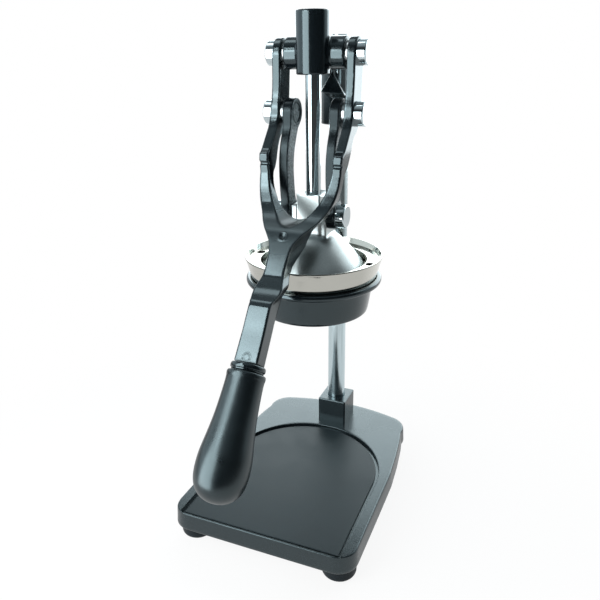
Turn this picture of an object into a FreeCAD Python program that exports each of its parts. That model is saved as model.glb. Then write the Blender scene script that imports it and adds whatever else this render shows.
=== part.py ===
import FreeCAD, Part
import Sketcher
import math
import os

# Lever citrus press: heavy base, column, head with a guide barrel, bowl and strainer,
# a pressing bell on a rod, two links and a forked hand lever.
# Millimetres. X to the right as seen from the front, minus Y towards the user, Z up.
# The origin is the centre of the footprint on the bench. Sketches are drawn about the
# axis of the plunger rod, which stands frameBack behind that centre.

doc = FreeCAD.newDocument("citrus_press")
sheet = doc.addObject("Spreadsheet::Sheet", "Dims")

# Sizes
SIZES = [
    ("frameBack", 55.33),
    ("footHigh", 15.0),
    ("footRadius", 15.2),
    ("footSide", 70.0),
    ("footFront", -122.0),
    ("footSideBack", 60.0),
    ("footBack", 60.0),
    ("footScrew", 2.1),
    ("baseThick", 17.0),
    ("baseHalf", 87.0),
    ("baseSpread", 1.2),
    ("baseFront", -141.2),
    ("baseBack", 96.0),
    ("matHalf", 77.1),
    ("matCentre", -36.0),
    ("matThick", 2.2),
    ("recessDeep", 3.0),
    ("grooveWide", 2.6),
    ("frontWall", 1.9),
    ("socketWide", 31.1),
    ("socketDeep", 32.3),
    ("socketHigh", 26.8),
    ("columnGap", 4.0),
    ("columnRadius", 9.25),
    ("columnProud", 3.0),
    ("studRadius", 6.0),
    ("seatGap", 0.04),
    ("runGap", 0.05),
    ("faceGap", 0.1),
    ("lipUp", 193.3),
    ("lipThick", 5.8),
    ("lipInset", 0.6),
    ("ringInset", 9.0),
    ("ringDrop", 33.9),
    ("collarRadius", 17.0),
    ("rimUp", 20.0),
    ("rimRadius", 64.0),
    ("reliefGap", 1.0),
    ("spoutRadius", 10.0),
    ("spoutLong", 11.4),
    ("gutterInset", 14.0),
    ("gutterDeep", 12.5),
    ("coneHigh", 25.7),
    ("bellGap", 2.2),
    ("rindGap", 5.8),
    ("lowUp", 58.3),
    ("lowY", -5.8),
    ("midUp", 86.4),
    ("midY", 5.2),
    ("topUp", 48.4),
    ("topY", 11.6),
    ("blockHalf", 16.9),
    ("blockDeep", 13.0),
    ("blockUp", 8.9),
    ("hubUp", 10.5),
    ("rodRadius", 6.6),
    ("rodProud", -4.3),
    ("bushWall", 2.4),
    ("bushLong", 11.8),
    ("barrelRadius", 14.1),
    ("barrelDown", 16.9),
    ("barrelUp", 32.9),
    ("sleeveRadius", 17.2),
    ("sleeveDown", 63.1),
    ("sleeveUp", 12.6),
    ("crossRadius", 13.3),
    ("crossHalf", 27.0),
    ("webWide", 18.0),
    ("setScrew", 4.0),
    ("pinRadius", 6.0),
    ("pinEnd", 8.0),
    ("capRadius", 10.4),
    ("capLong", 8.0),
    ("forkIn", 30.0),
    ("forkThick", 7.2),
    ("linkIn", 17.2),
    ("linkThick", 8.8),
    ("eyeHigh", 12.0),
    ("eyeLow", 11.6),
    ("tilt", 38.0),
    ("gripOut", 143.2),
    ("gripDrop", 175.0),
    ("tangRadius", 5.0),
    ("tangLong", 72.0),
    ("ferruleRadius", 14.0),
    ("ferruleLong", 6.5),
    ("gripRadius", 21.0),
    ("gripLong", 99.0),
]


class Val:
    """A size that keeps its number together with the text that binds it to the sheet."""

    def __init__(self, number, text):
        self.number = float(number)
        self.text = text

    def join(self, other, sign, swap=False):
        a = self
        b = other if isinstance(other, Val) else Val(other, "%.6g" % other)
        if swap:
            a, b = b, a
        number = {
            "+": lambda p, q: p + q,
            "-": lambda p, q: p - q,
            "*": lambda p, q: p * q,
            "/": lambda p, q: p / q,
        }[sign](a.number, b.number)
        return Val(number, "(%s)%s(%s)" % (a.text, sign, b.text))

    def __add__(self, other):
        return self.join(other, "+")

    def __radd__(self, other):
        return self.join(other, "+", True)

    def __sub__(self, other):
        return self.join(other, "-")

    def __rsub__(self, other):
        return self.join(other, "-", True)

    def __mul__(self, other):
        return self.join(other, "*")

    def __rmul__(self, other):
        return self.join(other, "*", True)

    def __truediv__(self, other):
        return self.join(other, "/")

    def __neg__(self):
        return Val(-self.number, "-(%s)" % self.text)


class Sizes:
    pass


D = Sizes()
for row, (name, number) in enumerate(SIZES, start=1):
    sheet.set("A%d" % row, name)
    sheet.set("B%d" % row, "%g" % number)
    sheet.setAlias("B%d" % row, name)
    setattr(D, name, Val(number, "Dims." + name))
doc.recompute()

# Sizes that follow from the others
baseLow = D.footHigh
baseTop = D.footHigh + D.baseThick
recessFloor = baseTop - D.recessDeep
socketTop = baseTop + D.socketHigh
matTop = recessFloor + D.matThick
D.columnBack = D.rimRadius + D.columnGap
D.lipRadius = D.rimRadius - D.lipInset
D.ringRadius = D.rimRadius - D.ringInset
D.gutterRadius = D.rimRadius - D.gutterInset
D.lipTop = baseTop + D.lipUp
D.rimTop = D.lipTop + D.rimUp
D.ringLow = D.lipTop - D.ringDrop
D.lowZ = D.lipTop + D.lowUp
D.midZ = D.lowZ + D.midUp
D.topZ = D.midZ + D.topUp
D.blockTop = D.lowZ + D.blockUp
D.hubTop = D.blockTop + D.hubUp
D.barrelLow = D.topZ - D.barrelDown
D.barrelTop = D.topZ + D.barrelUp
D.sleeveLow = D.topZ - D.sleeveDown
D.sleeveTop = D.topZ + D.sleeveUp
D.columnTop = D.sleeveTop + D.columnProud
D.rodTop = D.barrelTop + D.rodProud
D.forkOut = D.forkIn + D.forkThick
D.linkOut = D.linkIn + D.linkThick
D.bellRadius = D.gutterRadius - D.bellGap
D.gripY = D.midY - D.gripOut
D.gripZ = D.midZ - D.gripDrop


def num(v):
    return v.number if isinstance(v, Val) else float(v)


def bind(obj, prop, v):
    if isinstance(v, Val):
        obj.setExpression(prop, v.text)


def new_body(name, x=None, y=None, z=None, angle=None):
    body = doc.addObject("PartDesign::Body", name)
    body.Label = name
    if hasattr(body, "AllowCompound"):
        body.AllowCompound = True
    turn = FreeCAD.Rotation(FreeCAD.Vector(1, 0, 0), num(angle) if angle is not None else 0.0)
    y = D.frameBack if y is None else y + D.frameBack
    base = FreeCAD.Vector(*[num(v) if v is not None else 0.0 for v in (x, y, z)])
    body.Placement = FreeCAD.Placement(base, turn)
    if x is not None:
        bind(body, ".Placement.Base.x", x)
    bind(body, ".Placement.Base.y", y)
    if z is not None:
        bind(body, ".Placement.Base.z", z)
    if angle is not None:
        bind(body, ".Placement.Rotation.Angle", angle)
    return body


def plane_of(body, role):
    for feature in body.Origin.OriginFeatures:
        if feature.Role == role:
            return feature
    raise ValueError(role)


def new_sketch(body, name, role, offset=None):
    sk = body.newObject("Sketcher::SketchObject", name)
    sk.AttachmentSupport = [(plane_of(body, role), "")]
    sk.MapMode = "FlatFace"
    if offset is not None:
        sk.AttachmentOffset = FreeCAD.Placement(
            FreeCAD.Vector(0, 0, num(offset)), FreeCAD.Rotation()
        )
        bind(sk, ".AttachmentOffset.Base.z", offset)
    return sk


def arc_centre(p, q, radius):
    """Centre of the arc from p to q that runs counter-clockwise for a positive radius."""
    mx, my = (p[0] + q[0]) / 2, (p[1] + q[1]) / 2
    dx, dy = q[0] - p[0], q[1] - p[1]
    half = math.hypot(dx, dy) / 2
    r = max(abs(radius), half * 1.000001)
    rise = math.sqrt(r * r - half * half)
    side = 1 if radius > 0 else -1
    return (mx - side * dy / (2 * half) * rise, my + side * dx / (2 * half) * rise)


def point_rules(geo, pos, x, y):
    rules = []
    for kind, v in (("DistanceX", x), ("DistanceY", y)):
        if not isinstance(v, Val) and abs(v) < 1e-9:
            which = -2 if kind == "DistanceX" else -1
            rules.append((Sketcher.Constraint("PointOnObject", geo, pos, which), None))
        else:
            rules.append((Sketcher.Constraint(kind, -1, 1, geo, pos, num(v)), v))
    return rules


def apply_rules(sk, rules):
    places = sk.addConstraint([rule for rule, _ in rules])
    for place, (_, v) in zip(places, rules):
        if isinstance(v, Val):
            sk.setExpression("Constraints[%d]" % place, v.text)


def closed(sk, corners):
    """A closed outline. Each corner is (x, y) or (x, y, r); r bends the edge that leaves it."""
    vec = FreeCAD.Vector
    n = len(corners)
    shapes = []
    ids = []
    rules = []
    first_geo = len(sk.Geometry)
    for i in range(n):
        a = corners[i]
        b = corners[(i + 1) % n]
        p = (num(a[0]), num(a[1]))
        q = (num(b[0]), num(b[1]))
        g = first_geo + i
        if len(a) == 3:
            radius = num(a[2])
            c = arc_centre(p, q, radius)
            r = math.hypot(p[0] - c[0], p[1] - c[1])
            first, last = (p, q) if radius > 0 else (q, p)
            t0 = math.atan2(first[1] - c[1], first[0] - c[0])
            t1 = math.atan2(last[1] - c[1], last[0] - c[0])
            ring = Part.Circle(vec(c[0], c[1], 0), vec(0, 0, 1), r)
            shapes.append(Part.ArcOfCircle(ring, t0, t1))
            ids.append((g, 1, 2) if radius > 0 else (g, 2, 1))
            size = a[2] if radius > 0 else (-a[2])
            rules.append((Sketcher.Constraint("Radius", g, abs(radius)), size))
        else:
            shapes.append(Part.LineSegment(vec(p[0], p[1], 0), vec(q[0], q[1], 0)))
            ids.append((g, 1, 2))
    sk.addGeometry(shapes, False)
    for i in range(n):
        g, _, end = ids[i]
        h, start, _ = ids[(i + 1) % n]
        rules.append((Sketcher.Constraint("Coincident", g, end, h, start), None))
    for i in range(n):
        g, start, _ = ids[i]
        rules.extend(point_rules(g, start, corners[i][0], corners[i][1]))
    apply_rules(sk, rules)


def circle(sk, x, y, radius):
    middle_point = FreeCAD.Vector(num(x), num(y), 0)
    ring = Part.Circle(middle_point, FreeCAD.Vector(0, 0, 1), num(radius))
    g = sk.addGeometry(ring, False)
    rules = point_rules(g, 3, x, y)
    rules.append((Sketcher.Constraint("Radius", g, num(radius)), radius))
    apply_rules(sk, rules)
    return g


def rectangle(sk, x0, y0, x1, y1):
    closed(sk, [(x0, y0), (x1, y0), (x1, y1), (x0, y1)])


def pad(body, sk, long, both=False, reverse=False):
    f = body.newObject("PartDesign::Pad", sk.Name + "_pad")
    f.Profile = sk
    f.Length = num(long)
    bind(f, "Length", long)
    set_sides(f, both)
    f.Reversed = reverse
    finish_feature(body, f, sk)
    return f


def pocket(body, sk, long, both=False, reverse=False):
    f = body.newObject("PartDesign::Pocket", sk.Name + "_cut")
    f.Profile = sk
    f.Length = num(long)
    bind(f, "Length", long)
    set_sides(f, both)
    f.Reversed = reverse
    finish_feature(body, f, sk)
    return f


def set_sides(f, both):
    if hasattr(f, "SideType"):
        f.SideType = "Symmetric" if both else "One side"
    else:
        f.Midplane = both


def finish_feature(body, f, sk=None):
    if sk is not None:
        sk.Visibility = False
    body.Tip = f
    doc.recompute()


def spin(body, sk, groove=False):
    """Turn the sketch about the vertical axis of its plane."""
    kind = "PartDesign::Groove" if groove else "PartDesign::Revolution"
    f = body.newObject(kind, sk.Name + ("_groove" if groove else "_turn"))
    f.Profile = sk
    f.ReferenceAxis = (sk, ["V_Axis"])
    f.Angle = 360.0
    finish_feature(body, f, sk)
    return f


def loft(body, first, others, straight=True, cut=False):
    kind = "PartDesign::SubtractiveLoft" if cut else "PartDesign::AdditiveLoft"
    f = body.newObject(kind, first.Name + "_loft")
    f.Profile = first
    f.Sections = others
    f.Ruled = straight
    for sk in others:
        sk.Visibility = False
    finish_feature(body, f, first)
    return f


def soften(body, picks, radius, kind="Fillet"):
    """Round or bevel the named edges or faces of the last feature."""
    last = body.Tip
    names = picks(last.Shape)
    if not names:
        return last
    f = body.newObject("PartDesign::" + kind, last.Name + "_" + kind.lower())
    f.Base = (last, names)
    if kind == "Fillet":
        f.Radius = num(radius)
        bind(f, "Radius", radius)
    else:
        f.Size = num(radius)
        bind(f, "Size", radius)
    finish_feature(body, f)
    if "Invalid" in f.State or "Error" in f.State or f.Shape.isNull() or not f.Shape.isValid():
        body.removeObject(f)
        doc.removeObject(f.Name)
        body.Tip = last
        doc.recompute()
        return last
    return f


def edges_where(test):
    def pick(shape):
        return ["Edge%d" % i for i, e in enumerate(shape.Edges, start=1) if test(e)]

    return pick


def flat_at_z(e, z, tol=0.05):
    b = e.BoundBox
    return abs(b.ZMin - z) < tol and abs(b.ZMax - z) < tol


def middle(e):
    return e.BoundBox.Center


foot_places = [
    (-D.footSide, D.footFront),
    (D.footSide, D.footFront),
    (-D.footSideBack, D.footBack),
    (D.footSideBack, D.footBack),
]

# Base plate: a low casting with slanting sides, a rounded back and a column socket
def base_outline(sk, half, front, back, radius):
    closed(
        sk,
        [
            (-(half - radius), front),
            (half - radius, front, radius),
            (half, front + radius),
            (half - 0.5, back - 111.0),
            (half - 3.0, back - 79.0),
            (half - 6.4, back - 50.0),
            (half - 8.8, back - 36.0, radius + 4.0),
            (half - 27.0, back - 9.5, half + 112.0),
            (-(half - 27.0), back - 9.5, radius + 4.0),
            (-(half - 8.8), back - 36.0),
            (-(half - 6.4), back - 50.0),
            (-(half - 3.0), back - 79.0),
            (-(half - 0.5), back - 111.0),
            (-half, front + radius, radius),
        ],
    )


base = new_body("base_plate")
sk = new_sketch(base, "base_foot_line", "XY_Plane", baseLow)
base_outline(sk, D.baseHalf + D.baseSpread, D.baseFront - 1.2, D.baseBack + 4.5, Val(19.0, "19"))
sk_top = new_sketch(base, "base_top_line", "XY_Plane", baseTop)
base_outline(sk_top, D.baseHalf, D.baseFront, D.baseBack, Val(18.0, "18"))
loft(base, sk, [sk_top])
top_z = num(baseTop)
soften(
    base,
    edges_where(lambda e: flat_at_z(e, top_z) and middle(e).y > num(D.baseFront) + 8),
    2.4,
)
sk = new_sketch(base, "socket_line", "XY_Plane", baseTop - 0.5)
rectangle(
    sk,
    -D.socketWide / 2,
    D.columnBack - D.socketDeep / 2,
    D.socketWide / 2,
    D.columnBack + D.socketDeep / 2,
)
pad(base, sk, D.socketHigh + 0.5)
socket_z = num(socketTop)
soften(base, edges_where(lambda e: flat_at_z(e, socket_z)), 0.9)
sk = new_sketch(base, "recess_line", "XY_Plane", recessFloor)
recess_front = D.baseFront + D.frontWall
closed(
    sk,
    [
        (-D.matHalf, recess_front),
        (D.matHalf, recess_front),
        (D.matHalf, D.matCentre, D.matHalf),
        (0.0, D.matCentre + D.matHalf, D.matHalf),
        (-D.matHalf, D.matCentre),
    ],
)
pocket(base, sk, D.recessDeep + 1, reverse=True)
sk = new_sketch(base, "under_line", "XY_Plane", baseLow)
closed(
    sk,
    [
        (-52.0, D.baseFront + 12.0),
        (52.0, D.baseFront + 12.0),
        (52.0, D.footFront + 26.0),
        (D.baseHalf - 9.0, D.footFront + 26.0),
        (D.baseHalf - 9.0, D.footBack - 26.0),
        (-(D.baseHalf - 9.0), D.footBack - 26.0),
        (-(D.baseHalf - 9.0), D.footFront + 26.0),
        (-52.0, D.footFront + 26.0),
    ],
)
pocket(base, sk, 7.5, reverse=True)
sk = new_sketch(base, "column_bore_line", "XY_Plane", baseLow + 10.0)
circle(sk, 0.0, D.columnBack, D.columnRadius + D.seatGap)
pocket(base, sk, D.socketHigh + D.baseThick, reverse=True)
sk = new_sketch(base, "stud_bore_line", "XY_Plane", baseLow)
circle(sk, 0.0, D.columnBack, D.studRadius + 0.3)
pocket(base, sk, 12.0, reverse=True)
sk = new_sketch(base, "nut_well_line", "XY_Plane", baseLow)
circle(sk, 0.0, D.columnBack, 14.5)
pocket(base, sk, 7.5, reverse=True)
sk = new_sketch(base, "foot_bore_line", "XY_Plane", baseLow)
for far, place in foot_places:
    circle(sk, far, place, D.footScrew)
pocket(base, sk, 9.0, reverse=True)
sk = new_sketch(base, "socket_screw_bore", "XZ_Plane", -(D.columnBack + D.socketDeep / 2 + 1))
circle(sk, 0.0, baseTop + D.socketHigh / 2, 3.05)
pocket(base, sk, D.socketDeep / 2, reverse=True)

# Cup mat lying in the recess of the base, with a groove all round
mat = new_body("cup_mat")
mat_half = D.matHalf - D.grooveWide
mat_front = recess_front + D.grooveWide - 0.6
sk = new_sketch(mat, "mat_line", "XY_Plane", recessFloor)
closed(
    sk,
    [
        (-mat_half, mat_front),
        (mat_half, mat_front),
        (mat_half, D.matCentre, mat_half),
        (0.0, D.matCentre + mat_half, mat_half),
        (-mat_half, D.matCentre),
    ],
)
pad(mat, sk, D.matThick)
mat_z = num(matTop)
soften(mat, edges_where(lambda e: flat_at_z(e, mat_z)), 0.5)

# Rubber feet with their screws
feet = new_body("rubber_feet")
sk = new_sketch(feet, "feet_line", "XY_Plane")
for far, place in foot_places:
    circle(sk, far, place, D.footRadius)
pad(feet, sk, D.footHigh)
soften(feet, edges_where(lambda e: flat_at_z(e, 0.0)), 4.6)
sk = new_sketch(feet, "foot_well_line", "XY_Plane")
for far, place in foot_places:
    circle(sk, far, place, D.footScrew * 2.4)
pocket(feet, sk, D.footHigh - 5.5, reverse=True)
sk = new_sketch(feet, "foot_hole_line", "XY_Plane")
for far, place in foot_places:
    circle(sk, far, place, D.footScrew)
pocket(feet, sk, D.footHigh + 1, reverse=True)

screws = new_body("foot_screws")
sk = new_sketch(screws, "screw_head_line", "XY_Plane", D.footHigh - 8.1)
for far, place in foot_places:
    circle(sk, far, place, D.footScrew * 2.0)
pad(screws, sk, 2.6)
sk = new_sketch(screws, "screw_shank_line", "XY_Plane", D.footHigh - 6.0)
for far, place in foot_places:
    circle(sk, far, place, D.footScrew - D.seatGap)
pad(screws, sk, 14.0)
sk = new_sketch(screws, "screw_slot_line", "XY_Plane", D.footHigh - 8.1)
for far, place in foot_places:
    rectangle(sk, far - D.footScrew * 2.2, place - 0.5, far + D.footScrew * 2.2, place + 0.5)
pocket(screws, sk, 1.1, reverse=True)

# Column with a threaded stud at its foot, its washer, nut and socket screw
column = new_body("column", y=D.columnBack)
sk = new_sketch(column, "column_line", "XZ_Plane")
stud_low = baseLow + 0.6
closed(
    sk,
    [
        (0.0, stud_low),
        (D.studRadius - 0.6, stud_low),
        (D.studRadius, stud_low + 0.6),
        (D.studRadius, baseLow + 10.0),
        (D.columnRadius, baseLow + 10.0),
        (D.columnRadius, D.columnTop - 1.6),
        (D.columnRadius - 1.6, D.columnTop),
        (0.0, D.columnTop),
    ],
)
spin(column, sk)

washer = new_body("column_washer", y=D.columnBack)
sk = new_sketch(washer, "column_washer_line", "XY_Plane", baseLow + 6.0)
circle(sk, 0.0, 0.0, 12.0)
circle(sk, 0.0, 0.0, D.studRadius + 0.2)
pad(washer, sk, 1.5)

nut = new_body("column_nut", y=D.columnBack)
sk = new_sketch(nut, "column_nut_line", "XY_Plane", baseLow + 1.0)
across = 9.5 / math.cos(math.pi / 6)
corner_list = []
for k in range(6):
    turn = math.radians(60 * k + 30)
    corner_list.append((across * math.cos(turn), across * math.sin(turn)))
closed(sk, [(round(a, 4), round(b, 4)) for a, b in corner_list])
circle(sk, 0.0, 0.0, D.studRadius + D.seatGap)
pad(nut, sk, 5.0)

socket_screw = new_body("socket_set_screw")
sk = new_sketch(socket_screw, "socket_screw_line", "XZ_Plane", -(D.columnBack + D.socketDeep / 2 - 0.4))
circle(sk, 0.0, baseTop + D.socketHigh / 2, 3.0)
pad(socket_screw, sk, D.socketDeep / 2 - 0.4 - D.columnRadius)
sk = new_sketch(socket_screw, "socket_screw_hex", "XZ_Plane", -(D.columnBack + D.socketDeep / 2 - 0.4))
circle(sk, 0.0, baseTop + D.socketHigh / 2, 1.5)
pocket(socket_screw, sk, 2.2, reverse=False)

# Bowl holder: a lipped ring cast together with a collar that grips the column
holder = new_body("bowl_holder")
sk = new_sketch(holder, "holder_line", "XZ_Plane")
lip_low = D.lipTop - D.lipThick
shelf = lip_low + 2.0
closed(
    sk,
    [
        (D.ringRadius - 5.6, shelf),
        (D.ringRadius - 8.5, lip_low - 8.0),
        (D.ringRadius - 8.5, D.ringLow),
        (D.ringRadius - 5.0, D.ringLow),
        (D.ringRadius - 3.4, D.ringLow + 2.0),
        (D.ringRadius, lip_low - 3.0),
        (D.ringRadius + 1.6, lip_low),
        (D.lipRadius - 2.0, lip_low, 2.0),
        (D.lipRadius, lip_low + 2.0),
        (D.lipRadius, D.lipTop - 2.0, 2.0),
        (D.lipRadius - 2.0, D.lipTop),
        (D.lipRadius - 4.4, D.lipTop),
        (D.lipRadius - 5.8, shelf),
    ],
)
spin(holder, sk)
sk = new_sketch(holder, "collar_line", "XY_Plane", D.ringLow + 2.0)
circle(sk, 0.0, D.columnBack, D.collarRadius)
pad(holder, sk, lip_low - D.ringLow - 4.0)
sk = new_sketch(holder, "neck_line", "XY_Plane", D.ringLow + 4.0)
rectangle(sk, -13.0, D.ringRadius - 7.0, 13.0, D.columnBack - 8.0)
pad(holder, sk, lip_low - D.ringLow - 7.0)
sk = new_sketch(holder, "collar_bore_line", "XY_Plane", D.ringLow - 1.0)
circle(sk, 0.0, D.columnBack, D.columnRadius + D.seatGap)
pocket(holder, sk, lip_low - D.ringLow + 20.0, reverse=True)
clamp_z = D.ringLow + D.ringDrop * 0.4
sk = new_sketch(holder, "collar_screw_bore", "XZ_Plane", -(D.columnBack + D.collarRadius + 1.0))
circle(sk, 0.0, clamp_z, D.setScrew + 0.05)
pocket(holder, sk, D.collarRadius, reverse=True)

holder_screw = new_body("holder_clamp_screw", y=D.columnBack)
clamp_out = D.collarRadius + 4.0
sk = new_sketch(holder_screw, "clamp_shank_line", "XZ_Plane", -clamp_out)
circle(sk, 0.0, clamp_z, D.setScrew)
pad(holder_screw, sk, clamp_out - D.columnRadius)
sk = new_sketch(holder_screw, "clamp_head_line", "XZ_Plane", -(clamp_out + 4.0))
closed(
    sk,
    [
        (-7.0, clamp_z - 3.5),
        (0.0, clamp_z - 8.0),
        (7.0, clamp_z - 3.5),
        (7.0, clamp_z + 3.5),
        (0.0, clamp_z + 8.0),
        (-7.0, clamp_z + 3.5),
    ],
)
pad(holder_screw, sk, 6.0)

# Juice bowl: a flared wall and a shelf that stand in the holder, relieved round the column
bowl = new_body("juice_bowl")
sk = new_sketch(bowl, "bowl_line", "XZ_Plane")
spout_low = D.ringLow - D.spoutLong
bowl_seat = shelf + D.faceGap / 2
closed(
    sk,
    [
        (D.ringRadius - 5.67, bowl_seat),
        (D.lipRadius - 6.1, bowl_seat),
        (D.lipRadius - 4.6, D.lipTop),
        (D.rimRadius - 0.6, D.rimTop - 2.2),
        (D.rimRadius, D.rimTop - 1.4),
        (D.rimRadius, D.rimTop - 0.3),
        (D.rimRadius - 0.4, D.rimTop),
        (D.rimRadius - 1.7, D.rimTop - 0.2),
        (D.rimRadius - 3.3, D.rimTop - 6.3),
        (D.rimRadius - 4.4, D.rimTop - 6.5),
        (D.lipRadius - 6.9, bowl_seat + 1.3),
        (D.ringRadius - 5.67, bowl_seat + 1.3),
    ],
)
spin(bowl, sk)
sk = new_sketch(bowl, "bowl_relief", "XY_Plane", bowl_seat - 1.0)
circle(sk, 0.0, D.columnBack, D.columnRadius + D.reliefGap)
pocket(bowl, sk, D.rimUp + 8.0, reverse=True)

# Funnel: a cone joined by its skirt to the shelf of the bowl
funnel = new_body("bowl_funnel")
sk = new_sketch(funnel, "funnel_line", "XZ_Plane")
closed(
    sk,
    [
        (D.spoutRadius + 0.03, D.ringLow + 3.1),
        (D.spoutRadius + 0.6, D.ringLow + 3.1),
        (D.ringRadius - 7.4, lip_low - 3.4),
        (D.ringRadius - 5.7, bowl_seat - 0.5),
        (D.ringRadius - 5.7, bowl_seat + 1.2),
        (D.ringRadius - 6.6, bowl_seat + 1.2),
        (D.ringRadius - 8.3, lip_low - 2.2),
        (D.spoutRadius + 0.03, D.ringLow + 4.6),
    ],
)
spin(funnel, sk)

# Spout: a straight tube joined into the bottom of the funnel
spout = new_body("spout_tube")
sk = new_sketch(spout, "spout_line", "XZ_Plane")
closed(
    sk,
    [
        (D.spoutRadius - 1.0, spout_low),
        (D.spoutRadius, spout_low),
        (D.spoutRadius, D.ringLow + 4.4),
        (D.spoutRadius - 1.0, D.ringLow + 4.4),
    ],
)
spin(spout, sk)

# Strainer: a flange on the ledge of the bowl, a slotted gutter and a reaming cone
strainer = new_body("strainer")
flange_low = D.rimTop - 6.25
sk = new_sketch(strainer, "strainer_line", "XZ_Plane")
gutter_low = flange_low - D.gutterDeep
cone_top = gutter_low + D.coneHigh
cone_base = D.gutterRadius - 13.0
closed(
    sk,
    [
        (0.0, cone_top - 1.1),
        (6.0, cone_top - 1.7),
        (16.0, cone_top - 4.5),
        (26.0, cone_top - 10.7),
        (cone_base - 4.0, gutter_low + 8.0),
        (cone_base, gutter_low),
        (D.gutterRadius, gutter_low),
        (D.gutterRadius + 0.6, flange_low),
        (D.rimRadius - 3.6, flange_low),
        (D.rimRadius - 3.3, flange_low + 1.0),
        (D.gutterRadius - 0.3, flange_low + 1.0),
        (D.gutterRadius - 0.9, gutter_low + 1.0),
        (cone_base + 0.8, gutter_low + 1.0),
        (cone_base - 3.2, gutter_low + 8.5),
        (26.7, cone_top - 9.9),
        (16.4, cone_top - 3.5),
        (6.1, cone_top - 0.6),
        (0.0, cone_top),
    ],
)
spin(strainer, sk)
sk = new_sketch(strainer, "gutter_slot_line", "XY_Plane", gutter_low - 0.5)
rectangle(sk, cone_base + 2.6, -0.9, D.gutterRadius - 2.4, 0.9)
slot = pocket(strainer, sk, 2.5, reverse=True)
ring = strainer.newObject("PartDesign::PolarPattern", "gutter_slots")
ring.Originals = [slot]
ring.Axis = (sk, ["N_Axis"])
ring.Angle = 360.0
ring.Occurrences = 24
finish_feature(strainer, ring)
sk = new_sketch(strainer, "finger_hole_line", "XY_Plane", flange_low - 0.5)
finger = (D.gutterRadius + D.rimRadius - 5.4) / 2
circle(sk, -finger, 0.0, 4.2)
circle(sk, finger, 0.0, 4.2)
pocket(strainer, sk, 2.0, reverse=True)
sk = new_sketch(strainer, "strainer_relief", "XY_Plane", flange_low - 0.5)
circle(sk, 0.0, D.columnBack, D.columnRadius + D.reliefGap)
pocket(strainer, sk, 2.0, reverse=True)

# Head casting: guide barrel in front, cross boss for the lever pins, sleeve on the column
head = new_body("head_casting")
sk = new_sketch(head, "barrel_line", "XY_Plane", D.barrelLow)
circle(sk, 0.0, 0.0, D.barrelRadius)
pad(head, sk, D.barrelTop - D.barrelLow)
top_edge = num(D.barrelTop)
soften(head, edges_where(lambda e: flat_at_z(e, top_edge)), 1.6)
sk = new_sketch(head, "cross_line", "YZ_Plane")
circle(sk, D.topY, D.topZ, D.crossRadius)
pad(head, sk, D.crossHalf * 2, both=True)
sk = new_sketch(head, "sleeve_line", "XY_Plane", D.sleeveLow)
circle(sk, 0.0, D.columnBack, D.sleeveRadius)
pad(head, sk, D.sleeveTop - D.sleeveLow)
sk = new_sketch(head, "web_line", "YZ_Plane")
closed(
    sk,
    [
        (8.0, D.topZ - 11.0),
        (D.columnBack - 14.0, D.topZ - 12.0),
        (D.columnBack - 10.0, D.topZ - 30.0),
        (D.columnBack - 2.0, D.topZ - 30.0),
        (D.columnBack - 2.0, D.sleeveTop - 1.0),
        (D.columnBack - 14.0, D.sleeveTop - 1.0),
        (8.0, D.topZ + 11.5),
    ],
)
pad(head, sk, D.webWide, both=True)
sk = new_sketch(head, "window_line", "XY_Plane", D.topZ - 36.0)
rectangle(sk, -0.5, D.columnBack - 26.0, 22.0, D.columnBack + 22.0)
pocket(head, sk, 22.5, reverse=True)
wedge = []
for label, height, side_a, side_b, front, inset in (
    ("wedge_low", -40.0, -4.0, 9.0, -28.0, -25.0),
    ("wedge_mid", -32.5, -8.5, 13.6, -32.0, -23.5),
    ("wedge_tip", -15.2, 0.3, 3.0, -23.4, -22.6),
):
    sk = new_sketch(head, label, "XY_Plane", D.topZ + height)
    closed(
        sk,
        [
            (side_a, D.columnBack + inset),
            ((side_a + side_b) / 2 + 1.0, D.columnBack + front),
            (side_b, D.columnBack + inset),
            (side_b * 0.6, D.columnBack - 12.0),
            (side_a * 0.9 - 0.4, D.columnBack - 12.0),
        ],
    )
    wedge.append(sk)
loft(head, wedge[0], wedge[1:])
sk = new_sketch(head, "column_hole_line", "XY_Plane", D.sleeveLow - 1.0)
circle(sk, 0.0, D.columnBack, D.columnRadius + D.seatGap)
pocket(head, sk, D.sleeveTop - D.sleeveLow + 2.0, reverse=True)
sk = new_sketch(head, "rod_hole_line", "XY_Plane", D.barrelLow - 1.0)
circle(sk, 0.0, 0.0, D.rodRadius + 0.6)
pocket(head, sk, D.barrelTop - D.barrelLow + 2.0, reverse=True)
sk = new_sketch(head, "low_bush_seat", "XY_Plane", D.barrelLow - 1.0)
circle(sk, 0.0, 0.0, D.rodRadius + D.bushWall + D.seatGap / 2)
pocket(head, sk, D.bushLong + 1.2, reverse=True)
sk = new_sketch(head, "top_bush_seat", "XY_Plane", D.barrelTop - D.bushLong - 0.2)
circle(sk, 0.0, 0.0, D.rodRadius + D.bushWall + D.seatGap / 2)
pocket(head, sk, D.bushLong + 1.2, reverse=True)
sk = new_sketch(head, "top_pin_hole", "YZ_Plane", D.crossHalf - 13.5)
circle(sk, D.topY, D.topZ, D.pinRadius + D.seatGap / 2)
pocket(head, sk, 15.0, reverse=True)
sk = new_sketch(head, "top_pin_hole_left", "YZ_Plane", -(D.crossHalf - 13.5))
circle(sk, D.topY, D.topZ, D.pinRadius + D.seatGap / 2)
pocket(head, sk, 15.0)
screw_rows = (D.sleeveLow + 13.0, D.sleeveTop - 12.0)
sk = new_sketch(head, "head_screw_bores", "XZ_Plane", -(D.columnBack + D.sleeveRadius + 1.0))
for place in screw_rows:
    circle(sk, 0.0, place, D.setScrew + 0.05)
pocket(head, sk, D.sleeveRadius, reverse=True)

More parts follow.
